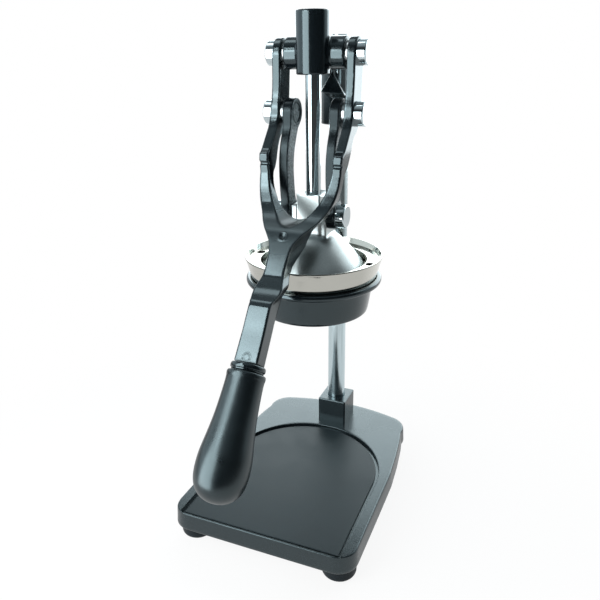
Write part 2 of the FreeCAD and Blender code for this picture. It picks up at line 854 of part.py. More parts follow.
head_screws = new_body("head_set_screws", y=D.columnBack)
sk = new_sketch(head_screws, "head_screw_line", "XZ_Plane", -(D.sleeveRadius + 0.3))
for place in screw_rows:
    circle(sk, 0.0, place, D.setScrew)
pad(head_screws, sk, D.sleeveRadius + 0.3 - D.columnRadius)
sk = new_sketch(head_screws, "head_screw_hex", "XZ_Plane", -(D.sleeveRadius + 0.3))
for place in screw_rows:
    circle(sk, 0.0, place, D.setScrew / 2)
pocket(head_screws, sk, 3.0)

bushes = new_body("guide_bushes")
sk = new_sketch(bushes, "low_bush_line", "XY_Plane", D.barrelLow + 0.2)
circle(sk, 0.0, 0.0, D.rodRadius + D.bushWall)
circle(sk, 0.0, 0.0, D.rodRadius + D.runGap)
pad(bushes, sk, D.bushLong)
sk = new_sketch(bushes, "top_bush_line", "XY_Plane", D.barrelTop - D.bushLong - 0.2)
circle(sk, 0.0, 0.0, D.rodRadius + D.bushWall)
circle(sk, 0.0, 0.0, D.rodRadius + D.runGap)
pad(bushes, sk, D.bushLong)


# Pins and caps come in pairs, one on each side of the plane X = 0
def pair_of_rounds(name, y, z, radius, inner, outer):
    body = new_body(name)
    a = new_sketch(body, name + "_line", "YZ_Plane")
    circle(a, y, z, radius)
    pad(body, a, outer * 2, both=True)
    b = new_sketch(body, name + "_gap", "YZ_Plane")
    circle(b, y, z, radius + 3.0)
    pocket(body, b, inner * 2, both=True)
    return body


def hollow_pair(body, name, y, z, radius, reach):
    c = new_sketch(body, name, "YZ_Plane")
    circle(c, y, z, radius)
    pocket(body, c, reach * 2, both=True)


def round_ends(body, outer, size):
    far = num(outer)
    soften(
        body,
        edges_where(lambda e: abs(abs(middle(e).x) - far) < 0.05 and e.BoundBox.XLength < 0.05),
        size,
    )


pair_of_rounds("top_pins", D.topY, D.topZ, D.pinRadius, D.crossHalf - 13.0, D.forkOut + 4.4)
caps = pair_of_rounds("top_caps", D.topY, D.topZ, D.capRadius, D.forkOut + 0.25, D.forkOut + D.capLong)
round_ends(caps, D.forkOut + D.capLong, 1.3)
hollow_pair(caps, "top_caps_bore", D.topY, D.topZ, D.pinRadius + 0.01, D.forkOut + 4.5)
rings = pair_of_rounds("top_washers", D.topY, D.topZ, 9.6, D.crossHalf + D.faceGap / 5, D.forkIn - D.faceGap)
hollow_pair(rings, "top_washers_bore", D.topY, D.topZ, D.pinRadius + 0.04, D.forkIn)

# Plunger: chrome rod and the cast bell with its pivot block
rod = new_body("plunger_rod")
rod_low = D.lowZ - 9.0
sk = new_sketch(rod, "rod_line", "XZ_Plane")
closed(
    sk,
    [
        (0.0, rod_low),
        (D.studRadius - 0.6, rod_low),
        (D.studRadius, rod_low + 0.6),
        (D.studRadius, D.hubTop - 6.0),
        (D.rodRadius, D.hubTop - 6.0),
        (D.rodRadius, D.rodTop - 1.0),
        (D.rodRadius - 1.0, D.rodTop),
        (0.0, D.rodTop),
    ],
)
spin(rod, sk)

bell = new_body("press_bell")
bell_low = gutter_low + 4.0
sk = new_sketch(bell, "bell_line", "XZ_Plane")
dome = cone_top + D.rindGap
closed(
    sk,
    [
        (0.0, dome + 6.0),
        (0.0, dome),
        (10.0, dome - 0.5),
        (20.0, dome - 3.5),
        (30.0, dome - 11.1),
        (38.5, dome - 21.0),
        (D.bellRadius - 3.4, bell_low),
        (D.bellRadius - 0.4, bell_low),
        (D.bellRadius, bell_low + 0.6),
        (D.bellRadius - 0.4, dome - 24.8),
        (D.bellRadius - 2.2, dome - 20.8),
        (D.bellRadius - 5.8, dome - 16.0),
        (36.0, dome - 8.8),
        (31.0, dome - 3.2),
        (26.0, dome + 2.0),
        (21.9, dome + 5.4),
        (17.0, dome + 7.6),
        (12.0, dome + 8.0),
        (0.0, dome + 8.0),
    ],
)
spin(bell, sk)
block_low = dome + 3.5
sk = new_sketch(bell, "block_line", "XY_Plane", block_low)
rectangle(sk, -D.blockHalf, -D.blockDeep, D.blockHalf, D.blockDeep)
pad(bell, sk, D.blockTop - block_low)
sk = new_sketch(bell, "hub_line", "XY_Plane", block_low)
hub_half = D.blockHalf - 5.9
rectangle(sk, -hub_half, -(D.blockDeep + 1.3), hub_half, D.blockDeep + 1.3)
pad(bell, sk, D.hubTop - block_low)
block_z = num(D.blockTop)
hub_edge = num(D.blockHalf) - 5.0
soften(
    bell,
    edges_where(lambda e: flat_at_z(e, block_z) and abs(middle(e).x) > hub_edge),
    0.8,
    "Chamfer",
)
sk = new_sketch(bell, "hub_dish_line", "XZ_Plane")
closed(
    sk,
    [
        (0.0, D.hubTop - 4.2),
        (D.rodRadius, D.hubTop - 4.2),
        (D.blockDeep + 6.0, D.hubTop + 0.9),
        (D.blockDeep + 6.0, D.hubTop + 2.0),
        (0.0, D.hubTop + 2.0),
    ],
)
spin(bell, sk, groove=True)
sk = new_sketch(bell, "stud_hole_line", "XY_Plane", rod_low - 1.0)
circle(sk, 0.0, 0.0, D.studRadius + D.seatGap / 2)
pocket(bell, sk, 40.0, reverse=True)
sk = new_sketch(bell, "rod_seat_line", "XY_Plane", D.hubTop - 6.0)
circle(sk, 0.0, 0.0, D.rodRadius + D.seatGap / 2)
pocket(bell, sk, 6.0, reverse=True)
sk = new_sketch(bell, "low_pin_hole", "YZ_Plane", D.blockHalf - 7.0)
circle(sk, D.lowY, D.lowZ, D.pinRadius + D.seatGap / 2)
pocket(bell, sk, 9.0, reverse=True)
sk = new_sketch(bell, "low_pin_hole_left", "YZ_Plane", -(D.blockHalf - 7.0))
circle(sk, D.lowY, D.lowZ, D.pinRadius + D.seatGap / 2)
pocket(bell, sk, 9.0)

pair_of_rounds("low_pins", D.lowY, D.lowZ, D.pinRadius, D.blockHalf - 6.9, D.linkOut + 4.4)
caps = pair_of_rounds("low_caps", D.lowY, D.lowZ, D.capRadius, D.linkOut + 0.25, D.linkOut + D.capLong)
round_ends(caps, D.linkOut + D.capLong, 1.3)
hollow_pair(caps, "low_caps_bore", D.lowY, D.lowZ, D.pinRadius + 0.01, D.linkOut + 4.5)


# Links: two bowed bars with an eye at each end
def link(name, near):
    body = new_body(name)
    a = new_sketch(body, name + "_high_eye", "YZ_Plane", near)
    circle(a, D.midY, D.midZ, D.eyeHigh)
    pad(body, a, D.linkThick)
    a = new_sketch(body, name + "_low_eye", "YZ_Plane", near)
    circle(a, D.lowY, D.lowZ, D.eyeLow)
    pad(body, a, D.linkThick)
    a = new_sketch(body, name + "_bar", "YZ_Plane", near)
    rise = D.midZ - D.lowZ
    closed(
        a,
        [
            (D.midY - 11.6, D.midZ - 3.0),
            (D.midY - 12.8, D.midZ - rise * 0.14),
            (D.midY - 18.8, D.midZ - rise * 0.27),
            (D.midY - 22.2, D.midZ - rise * 0.42),
            (D.midY - 22.8, D.midZ - rise * 0.55),
            (D.midY - 22.0, D.midZ - rise * 0.72),
            (D.midY - 20.0, D.midZ - rise * 0.88),
            (D.lowY - 11.3, D.lowZ + 1.8),
            (D.lowY, D.lowZ),
            (D.lowY + 10.5, D.lowZ + 4.0),
            (D.midY - 5.2, D.midZ - rise * 0.84),
            (D.midY - 6.6, D.midZ - rise * 0.70),
            (D.midY - 7.8, D.midZ - rise * 0.55),
            (D.midY - 6.2, D.midZ - rise * 0.40),
            (D.midY - 2.0, D.midZ - rise * 0.28),
            (D.midY + 5.2, D.midZ - 10.4),
            (D.midY, D.midZ),
        ],
    )
    pad(body, a, D.linkThick)
    a = new_sketch(body, name + "_low_bore", "YZ_Plane", near - 1.0)
    circle(a, D.lowY, D.lowZ, D.pinRadius + D.runGap)
    pocket(body, a, D.linkThick + 2.0, reverse=True)
    a = new_sketch(body, name + "_high_bore", "YZ_Plane", near - 1.0)
    circle(a, D.midY, D.midZ, D.pinEnd + D.seatGap / 2)
    pocket(body, a, D.linkThick + 2.0, reverse=True)
    return body


link("link_right", D.linkIn)
link("link_left", -D.linkOut)
pair_of_rounds("mid_pin_ends", D.midY, D.midZ, D.pinEnd, D.linkIn + 0.8, D.linkOut - 0.1)


# Hand lever: a fork that straddles the head, a stem, a knee and a bar for the grip
side = new_body("lever_side")
sk = new_sketch(side, "lever_side_line", "YZ_Plane")
closed(
    sk,
    [
        (D.topY - 12.6, D.topZ + 2.0, -Val(12.8, "12.8")),
        (D.topY + 12.7, D.topZ + 1.4),
        (D.topY + 11.0, D.topZ - 9.0),
        (D.topY + 9.6, D.topZ - 18.0),
        (D.topY + 8.4, D.midZ + 17.0),
        (D.midY + 12.2, D.midZ + 5.0),
        (D.midY + 12.2, D.midZ - 3.0),
        (D.midY + 6.0, D.midZ - 12.0),
        (D.midY - 8.0, D.midZ - 20.0),
        (D.midY - 13.0, D.midZ - 29.0),
        (D.midY - 17.6, D.midZ - 38.0),
        (D.midY - 21.5, D.midZ - 44.0),
        (D.midY - 27.2, D.midZ - 47.5),
        (D.midY - 30.6, D.midZ - 54.0),
        (D.midY - 33.6, D.midZ - 64.0),
        (D.midY - 37.8, D.midZ - 74.0),
        (D.midY - 38.6, D.midZ - 86.0),
        (D.midY - 36.0, D.midZ - 97.0),
        (D.midY - 48.0, D.midZ - 107.0),
        (D.midY - 62.5, D.midZ - 111.5),
        (D.midY - 77.0, D.midZ - 117.0),
        (D.midY - 88.0, D.midZ - 124.0),
        (D.midY - 98.0, D.midZ - 134.0),
        (D.midY - 110.6, D.midZ - 145.5),
        (D.gripY + 6.0, D.gripZ - 4.57),
        (D.gripY - 6.0, D.gripZ + 4.8),
        (D.midY - 122.4, D.midZ - 134.4),
        (D.midY - 118.8, D.midZ - 131.6),
        (D.midY - 112.7, D.midZ - 129.4),
        (D.midY - 107.2, D.midZ - 126.8),
        (D.midY - 96.2, D.midZ - 118.4),
        (D.midY - 89.2, D.midZ - 109.4),
        (D.midY - 82.2, D.midZ - 100.2),
        (D.midY - 76.7, D.midZ - 93.0),
        (D.midY - 71.7, D.midZ - 87.4),
        (D.midY - 65.2, D.midZ - 83.8),
        (D.midY - 56.7, D.midZ - 79.5),
        (D.midY - 49.0, D.midZ - 72.0),
        (D.midY - 42.6, D.midZ - 60.5),
        (D.midY - 38.6, D.midZ - 51.0),
        (D.midY - 37.4, D.midZ - 46.0),
        (D.midY - 37.4, D.midZ - 41.2),
        (D.midY - 35.4, D.midZ - 39.2),
        (D.midY - 37.6, D.midZ - 37.2),
        (D.midY - 36.6, D.midZ - 31.0),
        (D.midY - 31.5, D.midZ - 27.8),
        (D.midY - 16.5, D.midZ - 11.0),
        (D.midY - 12.0, D.midZ - 2.0),
        (D.midY - 10.6, D.midZ + 7.0),
        (D.midY - 4.0, D.midZ + 15.0),
        (D.midY - 1.0, D.midZ + 27.0),
        (D.midY - 1.0, D.topZ - 13.0),
    ],
)
pad(side, sk, D.forkOut * 2 + 10.0, both=True)

front = new_body("lever_front")
sk = new_sketch(front, "lever_front_line", "XZ_Plane")
right = [
    (D.forkOut, D.topZ + 20.0),
    (D.forkOut, D.midZ + 12.0),
    (D.forkOut + 0.8, D.midZ + 2.0),
    (D.forkOut + 0.8, D.midZ - 30.0),
    (D.forkOut - 0.2, D.midZ - 44.0),
    (D.forkOut - 0.9, D.midZ - 58.0),
    (D.forkOut - 4.0, D.midZ - 70.0),
    (D.forkOut - 11.2, D.midZ - 81.0),
    (D.forkOut - 15.4, D.midZ - 84.6),
    (D.forkOut - 19.8, D.midZ - 88.2),
    (D.forkOut - 23.4, D.midZ - 92.0),
    (D.forkOut - 26.5, D.midZ - 96.0),
    (D.forkOut - 28.1, D.midZ - 102.0),
    (D.forkOut - 28.7, D.midZ - 118.0),
    (D.forkOut - 25.0, D.midZ - 126.6),
    (D.forkOut - 25.6, D.midZ - 129.2),
    (D.forkOut - 27.9, D.midZ - 132.8),
    (D.forkOut - 27.4, D.midZ - 160.0),
    (D.forkOut - 26.8, D.gripZ - 12.0),
]
left = [(-x, z) for x, z in reversed(right)]
closed(sk, right + left)
pad(front, sk, 400.0, both=True)
sk = new_sketch(front, "fork_gap_line", "XZ_Plane")
inside = [
    (D.forkIn, D.topZ + 24.0),
    (D.forkIn, D.midZ + 12.0),
    (D.forkIn - 0.5, D.midZ + 2.0),
    (D.forkIn - 0.3, D.midZ - 30.0),
    (D.forkIn - 1.4, D.midZ - 46.0),
    (D.forkIn - 4.6, D.midZ - 60.0),
    (D.forkIn - 9.6, D.midZ - 70.0),
    (D.forkIn - 16.0, D.midZ - 78.6),
    (D.forkIn - 22.5, D.midZ - 83.4),
]
mirrored = [(-x, z) for x, z in reversed(inside)]
closed(sk, inside + [(0.0, D.midZ - 85.2)] + mirrored)
pocket(front, sk, 420.0, both=True)

blank = doc.addObject("Part::MultiCommon", "lever_blank")
blank.Shapes = [side, front]
doc.recompute()

tang = new_body("lever_tang", y=D.gripY, z=D.gripZ, angle=-D.tilt)
sk = new_sketch(tang, "tang_line", "XY_Plane", -D.tangLong)
circle(sk, 0.0, 0.0, D.tangRadius)
pad(tang, sk, D.tangLong + 2.0)

pin_cut = new_body("lever_bores")
sk = new_sketch(pin_cut, "lever_top_bore", "YZ_Plane")
circle(sk, D.topY, D.topZ, D.pinRadius + D.runGap)
pad(pin_cut, sk, 100.0, both=True)
sk = new_sketch(pin_cut, "lever_mid_bore", "YZ_Plane")
circle(sk, D.midY, D.midZ, D.pinRadius + D.seatGap / 2)
pad(pin_cut, sk, 100.0, both=True)

whole = doc.addObject("Part::MultiFuse", "lever_whole")
whole.Shapes = [blank, tang]
doc.recompute()
lever = doc.addObject("Part::Cut", "yoke_lever")
lever.Base = whole
lever.Tool = pin_cut
lever.Label = "yoke_lever"
doc.recompute()

pair_of_rounds("mid_pins", D.midY, D.midZ, D.pinRadius, D.linkOut + 0.3, D.forkOut + 5.2)
caps = pair_of_rounds("mid_caps", D.midY, D.midZ, D.capRadius, D.forkOut + 0.85, D.forkOut + D.capLong + 0.6)
round_ends(caps, D.forkOut + D.capLong + 0.6, 1.3)
hollow_pair(caps, "mid_caps_bore", D.midY, D.midZ, D.pinRadius + 0.01, D.forkOut + 5.3)
rings = pair_of_rounds("mid_washers", D.midY, D.midZ, 9.4, D.linkOut + 0.35, D.forkIn - 0.52)
hollow_pair(rings, "mid_washers_bore", D.midY, D.midZ, D.pinRadius + 0.01, D.forkIn)

# Ferrule and grip, turned about the axis of the bar
ferrule = new_body("grip_ferrule", y=D.gripY, z=D.gripZ, angle=-D.tilt)
sk = new_sketch(ferrule, "ferrule_line", "XZ_Plane")
closed(
    sk,
    [
        (D.tangRadius + 0.03, -D.ferruleLong),
        (D.ferruleRadius - 0.4, -D.ferruleLong),
        (D.ferruleRadius, -D.ferruleLong + 0.6),
        (D.ferruleRadius, -1.2),
        (D.ferruleRadius - 1.2, 0.0),
        (D.tangRadius + 0.03, 0.0),
    ],
)
spin(ferrule, sk)

grip = new_body("grip", y=D.gripY, z=D.gripZ, angle=-D.tilt)
sk = new_sketch(grip, "grip_line", "XZ_Plane")
grip_start = -D.ferruleLong - 0.02
closed(
    sk,
    [
        (D.tangRadius + 0.03, grip_start),
        (D.gripRadius * 0.70, grip_start),
        (D.gripRadius * 0.735, grip_start - 1.2),
        (D.gripRadius * 0.735, grip_start - 3.4),
        (D.gripRadius * 0.712, grip_start - 5.0),
        (D.gripRadius * 0.722, grip_start - 12.0),
        (D.gripRadius * 0.752, grip_start - 26.0),
        (D.gripRadius * 0.80, grip_start - 38.0),
        (D.gripRadius * 0.87, grip_start - 49.0),
        (D.gripRadius * 0.95, grip_start - 59.0),
        (D.gripRadius * 0.99, grip_start - 66.0),
        (D.gripRadius, grip_start - 72.0),
        (D.gripRadius * 0.99, grip_start - D.gripLong * 0.79),
        (D.gripRadius * 0.95, grip_start - D.gripLong * 0.85),
        (D.gripRadius * 0.85, grip_start - D.gripLong * 0.905),
        (D.gripRadius * 0.67, grip_start - D.gripLong * 0.951),
        (D.gripRadius * 0.42, grip_start - D.gripLong * 0.985),
        (D.gripRadius * 0.16, grip_start - D.gripLong),
        (0.0, grip_start - D.gripLong),
        (0.0, -(D.tangLong + 1.0)),
        (D.tangRadius + 0.03, -(D.tangLong + 1.0)),
    ],
)
spin(grip, sk)
doc.recompute()

NODES = [
    "base_plate",
    "cup_mat",
    "rubber_feet",
    "foot_screws",
    "column",
    "column_washer",
    "column_nut",
    "socket_set_screw",
    "bowl_holder",
    "holder_clamp_screw",
    "juice_bowl",
    "bowl_funnel",
    "spout_tube",
    "strainer",
    "head_casting",
    "head_set_screws",
    "guide_bushes",
    "top_pins",
    "top_caps",
    "top_washers",
    "plunger_rod",
    "press_bell",
    "low_pins",
    "low_caps",
    "link_left",
    "link_right",
    "mid_pin_ends",
    "yoke_lever",
    "mid_pins",
    "mid_caps",
    "mid_washers",
    "grip_ferrule",
    "grip",
]

os.makedirs("parts", exist_ok=True)
for obj in doc.Objects:
    if "Invalid" in obj.State or "Error" in obj.State:
        raise RuntimeError("not solved: " + obj.Name)
for name in NODES:
    obj = doc.getObject(name)
    shape = obj.Shape
    if shape.isNull() or not shape.isValid():
        raise RuntimeError("bad shape: " + name)
    box = shape.BoundBox
    print(
        "%-20s solids %d vol %9.1f  x %.1f %.1f  y %.1f %.1f  z %.1f %.1f"
        % (
            name,
            len(shape.Solids),
            shape.Volume,
            box.XMin,
            box.XMax,
            box.YMin,
            box.YMax,
            box.ZMin,
            box.ZMax,
        )
    )
    shape.exportStep(os.path.join("parts", name + ".step"))
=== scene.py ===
import math
import bmesh
import bpy
import numpy as np
from mathutils import Matrix, Vector


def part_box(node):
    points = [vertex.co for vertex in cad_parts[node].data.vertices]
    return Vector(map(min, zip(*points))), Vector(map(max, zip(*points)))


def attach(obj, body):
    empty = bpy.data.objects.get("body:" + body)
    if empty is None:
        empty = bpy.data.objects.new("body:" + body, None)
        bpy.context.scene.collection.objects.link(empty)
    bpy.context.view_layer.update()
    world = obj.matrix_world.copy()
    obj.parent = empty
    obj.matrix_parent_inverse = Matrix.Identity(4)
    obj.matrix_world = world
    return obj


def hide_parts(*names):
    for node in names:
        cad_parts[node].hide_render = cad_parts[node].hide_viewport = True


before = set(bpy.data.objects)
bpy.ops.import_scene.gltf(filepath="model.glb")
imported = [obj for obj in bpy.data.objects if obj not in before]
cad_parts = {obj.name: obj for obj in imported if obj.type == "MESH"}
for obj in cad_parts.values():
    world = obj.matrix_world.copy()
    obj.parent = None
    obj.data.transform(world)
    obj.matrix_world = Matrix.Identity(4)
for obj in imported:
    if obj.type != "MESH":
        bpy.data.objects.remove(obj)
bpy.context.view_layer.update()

MM = 0.001
# How far the plunger rod's axis stands behind the frame's origin, in mm
rod_low, rod_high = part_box("plunger_rod")
BACK = round((rod_low[1] + rod_high[1]) / 2 / MM, 2)

# Places and sizes in mm: y is behind the rod's axis and z is above the bench, each joint as (y, z)
FOOT = 15.0
TOP = (11.6, 418.4)
MID = (5.2, 370.0)
LOW = (-5.8, 283.6)
COLUMN_Y = 68.0
COLUMN_BORE = 9.29
ROD_BORE = 9.02
BELL_BORE = 6.02
TOP_BORE = 6.05
MID_BORE = 6.02
LINK_MID_BORE = 8.05
LINK_LOW_BORE = 6.05


def place(points):
    """Millimetres about the rod's axis, to metres in the frame."""
    p = np.asarray(points, float).reshape(-1, 3).copy()
    p[:, 1] += BACK
    return p * MM


def new_mesh(name, points, faces):
    mesh = bpy.data.meshes.new(name)
    pts = place(points).astype(np.float32)
    if isinstance(faces, np.ndarray):
        count, side = faces.shape
        mesh.vertices.add(len(pts))
        mesh.vertices.foreach_set("co", pts.ravel())
        mesh.loops.add(count * side)
        mesh.loops.foreach_set("vertex_index", faces.ravel().astype(np.int32))
        mesh.polygons.add(count)
        mesh.polygons.foreach_set("loop_start", np.arange(0, count * side, side, dtype=np.int32))
        mesh.update(calc_edges=True)
    else:
        mesh.from_pydata([tuple(p) for p in pts], [], faces)
        mesh.update()
    mesh.validate()
    mesh.polygons.foreach_set("use_smooth", [True] * len(mesh.polygons))
    obj = bpy.data.objects.new(name, mesh)
    bpy.context.scene.collection.objects.link(obj)
    return obj


def dress(obj, material, body, nodes=()):
    """Gives a piece its material, slot and body, and hides the CAD nodes that it replaces."""
    obj.data.materials.clear()
    obj.data.materials.append(material)
    if nodes:
        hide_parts(*nodes)
    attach(obj, body)
    return obj


# Solids from signed distances, meshed on a regular grid
def poly_distance(p, q, corners):
    """Signed distance in the plane to a closed outline, negative inside."""
    pts = np.asarray(corners, float)
    best = np.full(np.broadcast(p, q).shape, 1e9, np.float32)
    inside = np.zeros(best.shape, bool)
    n = len(pts)
    for i in range(n):
        ax, ay = pts[i]
        bx, by = pts[(i + 1) % n]
        ex, ey = bx - ax, by - ay
        length2 = ex * ex + ey * ey
        if length2 < 1e-12:
            continue
        wx, wy = p - ax, q - ay
        t = np.clip((wx * ex + wy * ey) / length2, 0, 1)
        best = np.minimum(best, (wx - t * ex) ** 2 + (wy - t * ey) ** 2)
        if abs(ey) > 1e-9:
            crosses = ((ay > q) != (by > q)) & (p < ex * (q - ay) / ey + ax)
            inside ^= crosses
    best = np.sqrt(best)
    return np.where(inside, -best, best).astype(np.float32)


def both(a, b, r):
    """The space inside a and b, with its edges rounded to r."""
    u = np.maximum(r + a, 0)
    v = np.maximum(r + b, 0)
    return np.minimum(-r, np.maximum(a, b)) + np.sqrt(u * u + v * v)


def either(a, b, r):
    """The space inside a or b, with a fillet of r between them."""
    u = np.maximum(r - a, 0)
    v = np.maximum(r - b, 0)
    return np.maximum(r, np.minimum(a, b)) - np.sqrt(u * u + v * v)


def less(a, b, r):
    """The space inside a but not b, with its edges rounded to r."""
    return both(a, -b, r)


def slab(v, lo, hi):
    """The space between two parallel planes."""
    return np.maximum(lo - v, v - hi)


def tube(p, q, a, b, r):
    """The space inside a cylinder of radius r about (a, b)."""
    return np.sqrt((p - a) ** 2 + (q - b) ** 2) - r


def eased(points, r=4.0):
    """Rounds each corner of a closed outline over at most r, or over its own third value."""
    pts = [np.array(p[:2], float) for p in points]
    out = []
    n = len(pts)
    for i, b in enumerate(pts):
        a, c = pts[i - 1], pts[(i + 1) % n]
        la, lc = np.linalg.norm(a - b), np.linalg.norm(c - b)
        far = points[i][2] if len(points[i]) > 2 else r
        cut = min(far, la * 0.46, lc * 0.46)
        p, q = b + (a - b) / la * cut, b + (c - b) / lc * cut
        for t in (0.0, 0.25, 0.5, 0.75, 1.0):
            out.append(tuple(p * (1 - t) ** 2 + b * 2 * t * (1 - t) + q * t * t))
    return out


def nets(field, lo, step):
    """A quad mesh of the surface where the field is zero."""
    inside = field < 0
    nx, ny, nz = field.shape
    count = np.zeros((nx - 1, ny - 1, nz - 1), np.int8)
    corners = [(i, j, k) for i in (0, 1) for j in (0, 1) for k in (0, 1)]
    for i, j, k in corners:
        count += inside[i : nx - 1 + i, j : ny - 1 + j, k : nz - 1 + k]
    cells = np.argwhere((count > 0) & (count < 8))
    index = np.full(count.shape, -1, np.int64)
    index[cells[:, 0], cells[:, 1], cells[:, 2]] = np.arange(len(cells))
    total = np.zeros((len(cells), 3))
    number = np.zeros(len(cells))
    for a in corners:
        for axis in range(3):
            if a[axis] == 1:
                continue
            b = list(a)
            b[axis] = 1
            v0 = field[cells[:, 0] + a[0], cells[:, 1] + a[1], cells[:, 2] + a[2]]
            v1 = field[cells[:, 0] + b[0], cells[:, 1] + b[1], cells[:, 2] + b[2]]
            cross = (v0 < 0) != (v1 < 0)
            t = np.where(cross, v0 / np.where(cross, v0 - v1, 1), 0)
            for m in range(3):
                total[:, m] += np.where(cross, a[m] + (t if m == axis else 0), 0)
            number += cross
    points = (cells + total / number[:, None]) * step + np.asarray(lo)
    quads = []
    for axis in range(3):
        u, w = [m for m in range(3) if m != axis]
        s0 = [slice(None)] * 3
        s1 = [slice(None)] * 3
        s0[axis] = slice(0, -1)
        s1[axis] = slice(1, None)
        a, b = inside[tuple(s0)], inside[tuple(s1)]
        for flip in (False, True):
            edge = (a & ~b) if not flip else (~a & b)
            e = np.argwhere(edge)
            e = e[(e[:, u] > 0) & (e[:, w] > 0) & (e[:, u] < field.shape[u] - 1)]
            e = e[e[:, w] < field.shape[w] - 1]
            ring = []
            for du, dw in ((-1, -1), (0, -1), (0, 0), (-1, 0)):
                c = e.copy()
                c[:, u] += du
                c[:, w] += dw
                ring.append(index[c[:, 0], c[:, 1], c[:, 2]])
            q = np.stack(ring, 1)
            if flip != (axis == 1):
                q = q[:, ::-1]
            quads.append(q)
    return points, np.concatenate(quads)


def solid(name, lo, hi, step, shape):
    """Meshes a shape between two corners, in mm, on a grid of the given step."""
    axes = [np.arange(lo[m], hi[m] + step, step, dtype=np.float32) for m in range(3)]
    x = axes[0][:, None, None]
    y = axes[1][None, :, None]
    z = axes[2][None, None, :]
    field = np.broadcast_to(shape(x, y, z), [len(a) for a in axes]).astype(np.float32)
    points, quads = nets(field, lo, step)
    return new_mesh(name, points, quads)


# Turned shapes
def fine(profile, turns=2, keep=()):
    """Rounds an open profile's corners, but for the ones listed in keep and its ends."""
    pts = [tuple(p) for p in profile]
    held = [i in keep or i in (0, len(pts) - 1) for i in range(len(pts))]
    for _ in range(turns):
        out, out_held = [], []
        for i, p in enumerate(pts):
            if held[i]:
                out.append(p)
                out_held.append(True)
                continue
            a, b, c = np.array(pts[i - 1]), np.array(p), np.array(pts[i + 1])
            out.append(tuple(b + (a - b) * 0.25))
            out.append(tuple(b + (c - b) * 0.25))
            out_held += [False, False]
        pts, held = out, out_held
    return pts


def lathe(name, profile, centre=(0, 0), tilt=None):
    """Turns (radius, height) points about an axis through centre (y, z), tilted about X in degrees."""
    segments = 160
    pts = []
    rows = []
    for r, h in profile:
        if r < 1e-6:
            rows.append([len(pts)])
            pts.append((0, 0, h))
            continue
        start = len(pts)
        for k in range(segments):
            a = 2 * math.pi * k / segments
            pts.append((r * math.cos(a), r * math.sin(a), h))
        rows.append(list(range(start, start + segments)))
    faces = []
    for low, high in zip(rows, rows[1:]):
        if len(low) == 1 and len(high) == 1:
            continue
        for k in range(segments):
            n = (k + 1) % segments
            if len(low) == 1:
                faces.append((low[0], high[n], high[k]))
            elif len(high) == 1:
                faces.append((low[k], low[n], high[0]))
            else:
                faces.append((low[k], low[n], high[n], high[k]))
    p = np.array(pts)
    if tilt is not None:
        t = math.radians(tilt)
        y, z = p[:, 1].copy(), p[:, 2].copy()
        p[:, 1] = y * math.cos(t) - z * math.sin(t)
        p[:, 2] = y * math.sin(t) + z * math.cos(t)
    p[:, 1] += centre[0]
    p[:, 2] += centre[1]
    return new_mesh(name, p, faces)


def cut_away(obj, tool):
    """Takes the tool's space out of the piece and removes the tool."""
    m = obj.modifiers.new("cut", "BOOLEAN")
    m.operation = "DIFFERENCE"
    m.solver = "EXACT"
    m.object = tool
    bpy.context.view_layer.update()
    graph = bpy.context.evaluated_depsgraph_get()
    mesh = bpy.data.meshes.new_from_object(obj.evaluated_get(graph))
    obj.modifiers.clear()
    old = obj.data
    obj.data = mesh
    bpy.data.meshes.remove(old)
    dead = tool.data
    bpy.data.objects.remove(tool)
    bpy.data.meshes.remove(dead)


def sharp(obj, angle):
    """Keeps the edges steeper than this crisp while the rest shades smoothly."""
    obj.data.shade_smooth()
    mesh = obj.data
    bm = bmesh.new()
    bm.from_mesh(mesh)
    limit = math.radians(angle)
    for e in bm.edges:
        e.smooth = not (len(e.link_faces) == 2 and e.calc_face_angle(0) > limit)
    bm.to_mesh(mesh)
    bm.free()


# Materials
# The cool cast of what the dark finishes mirror
GLOSS_TINT = (0.76, 0.95, 1.0)


def math_node(tree, kind, a, b, clamp=False):
    n = tree.nodes.new("ShaderNodeMath")
    n.operation = kind
    n.use_clamp = clamp
    for k, v in enumerate((a, b)):
        if isinstance(v, (int, float)):
            n.inputs[k].default_value = v
        else:
            tree.links.new(v, n.inputs[k])
    return n.outputs[0]


def material(name, base, metallic, rough, specular=0.5, gloss_tint=(1.0, 1.0, 1.0)):
    """A new material, with its node tree, its shader and its object coordinates."""
    m = bpy.data.materials.new(name)
    m.use_nodes = True
    tree = m.node_tree
    bsdf = tree.nodes["Principled BSDF"]
    bsdf.inputs["Base Color"].default_value = (*base, 1)
    bsdf.inputs["Metallic"].default_value = metallic
    bsdf.inputs["Roughness"].default_value = rough
    bsdf.inputs["Specular IOR Level"].default_value = specular
    bsdf.inputs["Specular Tint"].default_value = (*gloss_tint, 1)
    coords = tree.nodes.new("ShaderNodeTexCoord")
    return m, tree, bsdf, coords.outputs["Object"]


def noise(tree, coords, scale, detail=4.0, rough=0.55, stretch=None):
    if stretch is not None:
        mapping = tree.nodes.new("ShaderNodeMapping")
        mapping.inputs["Scale"].default_value = stretch
        tree.links.new(coords, mapping.inputs["Vector"])
        coords = mapping.outputs["Vector"]
    n = tree.nodes.new("ShaderNodeTexNoise")
    n.inputs["Scale"].default_value = scale
    n.inputs["Detail"].default_value = detail
    n.inputs["Roughness"].default_value = rough
    tree.links.new(coords, n.inputs["Vector"])
    return n.outputs["Fac"]


def remap(tree, value, lo, hi, a=0.3, b=0.7, curve="LINEAR"):
    """Takes a value running from a to b to one running from lo to hi."""
    n = tree.nodes.new("ShaderNodeMapRange")
    n.interpolation_type = curve
    n.inputs["From Min"].default_value = a
    n.inputs["From Max"].default_value = b
    n.inputs["To Min"].default_value = lo
    n.inputs["To Max"].default_value = hi
    tree.links.new(value, n.inputs["Value"])
    return n.outputs["Result"]


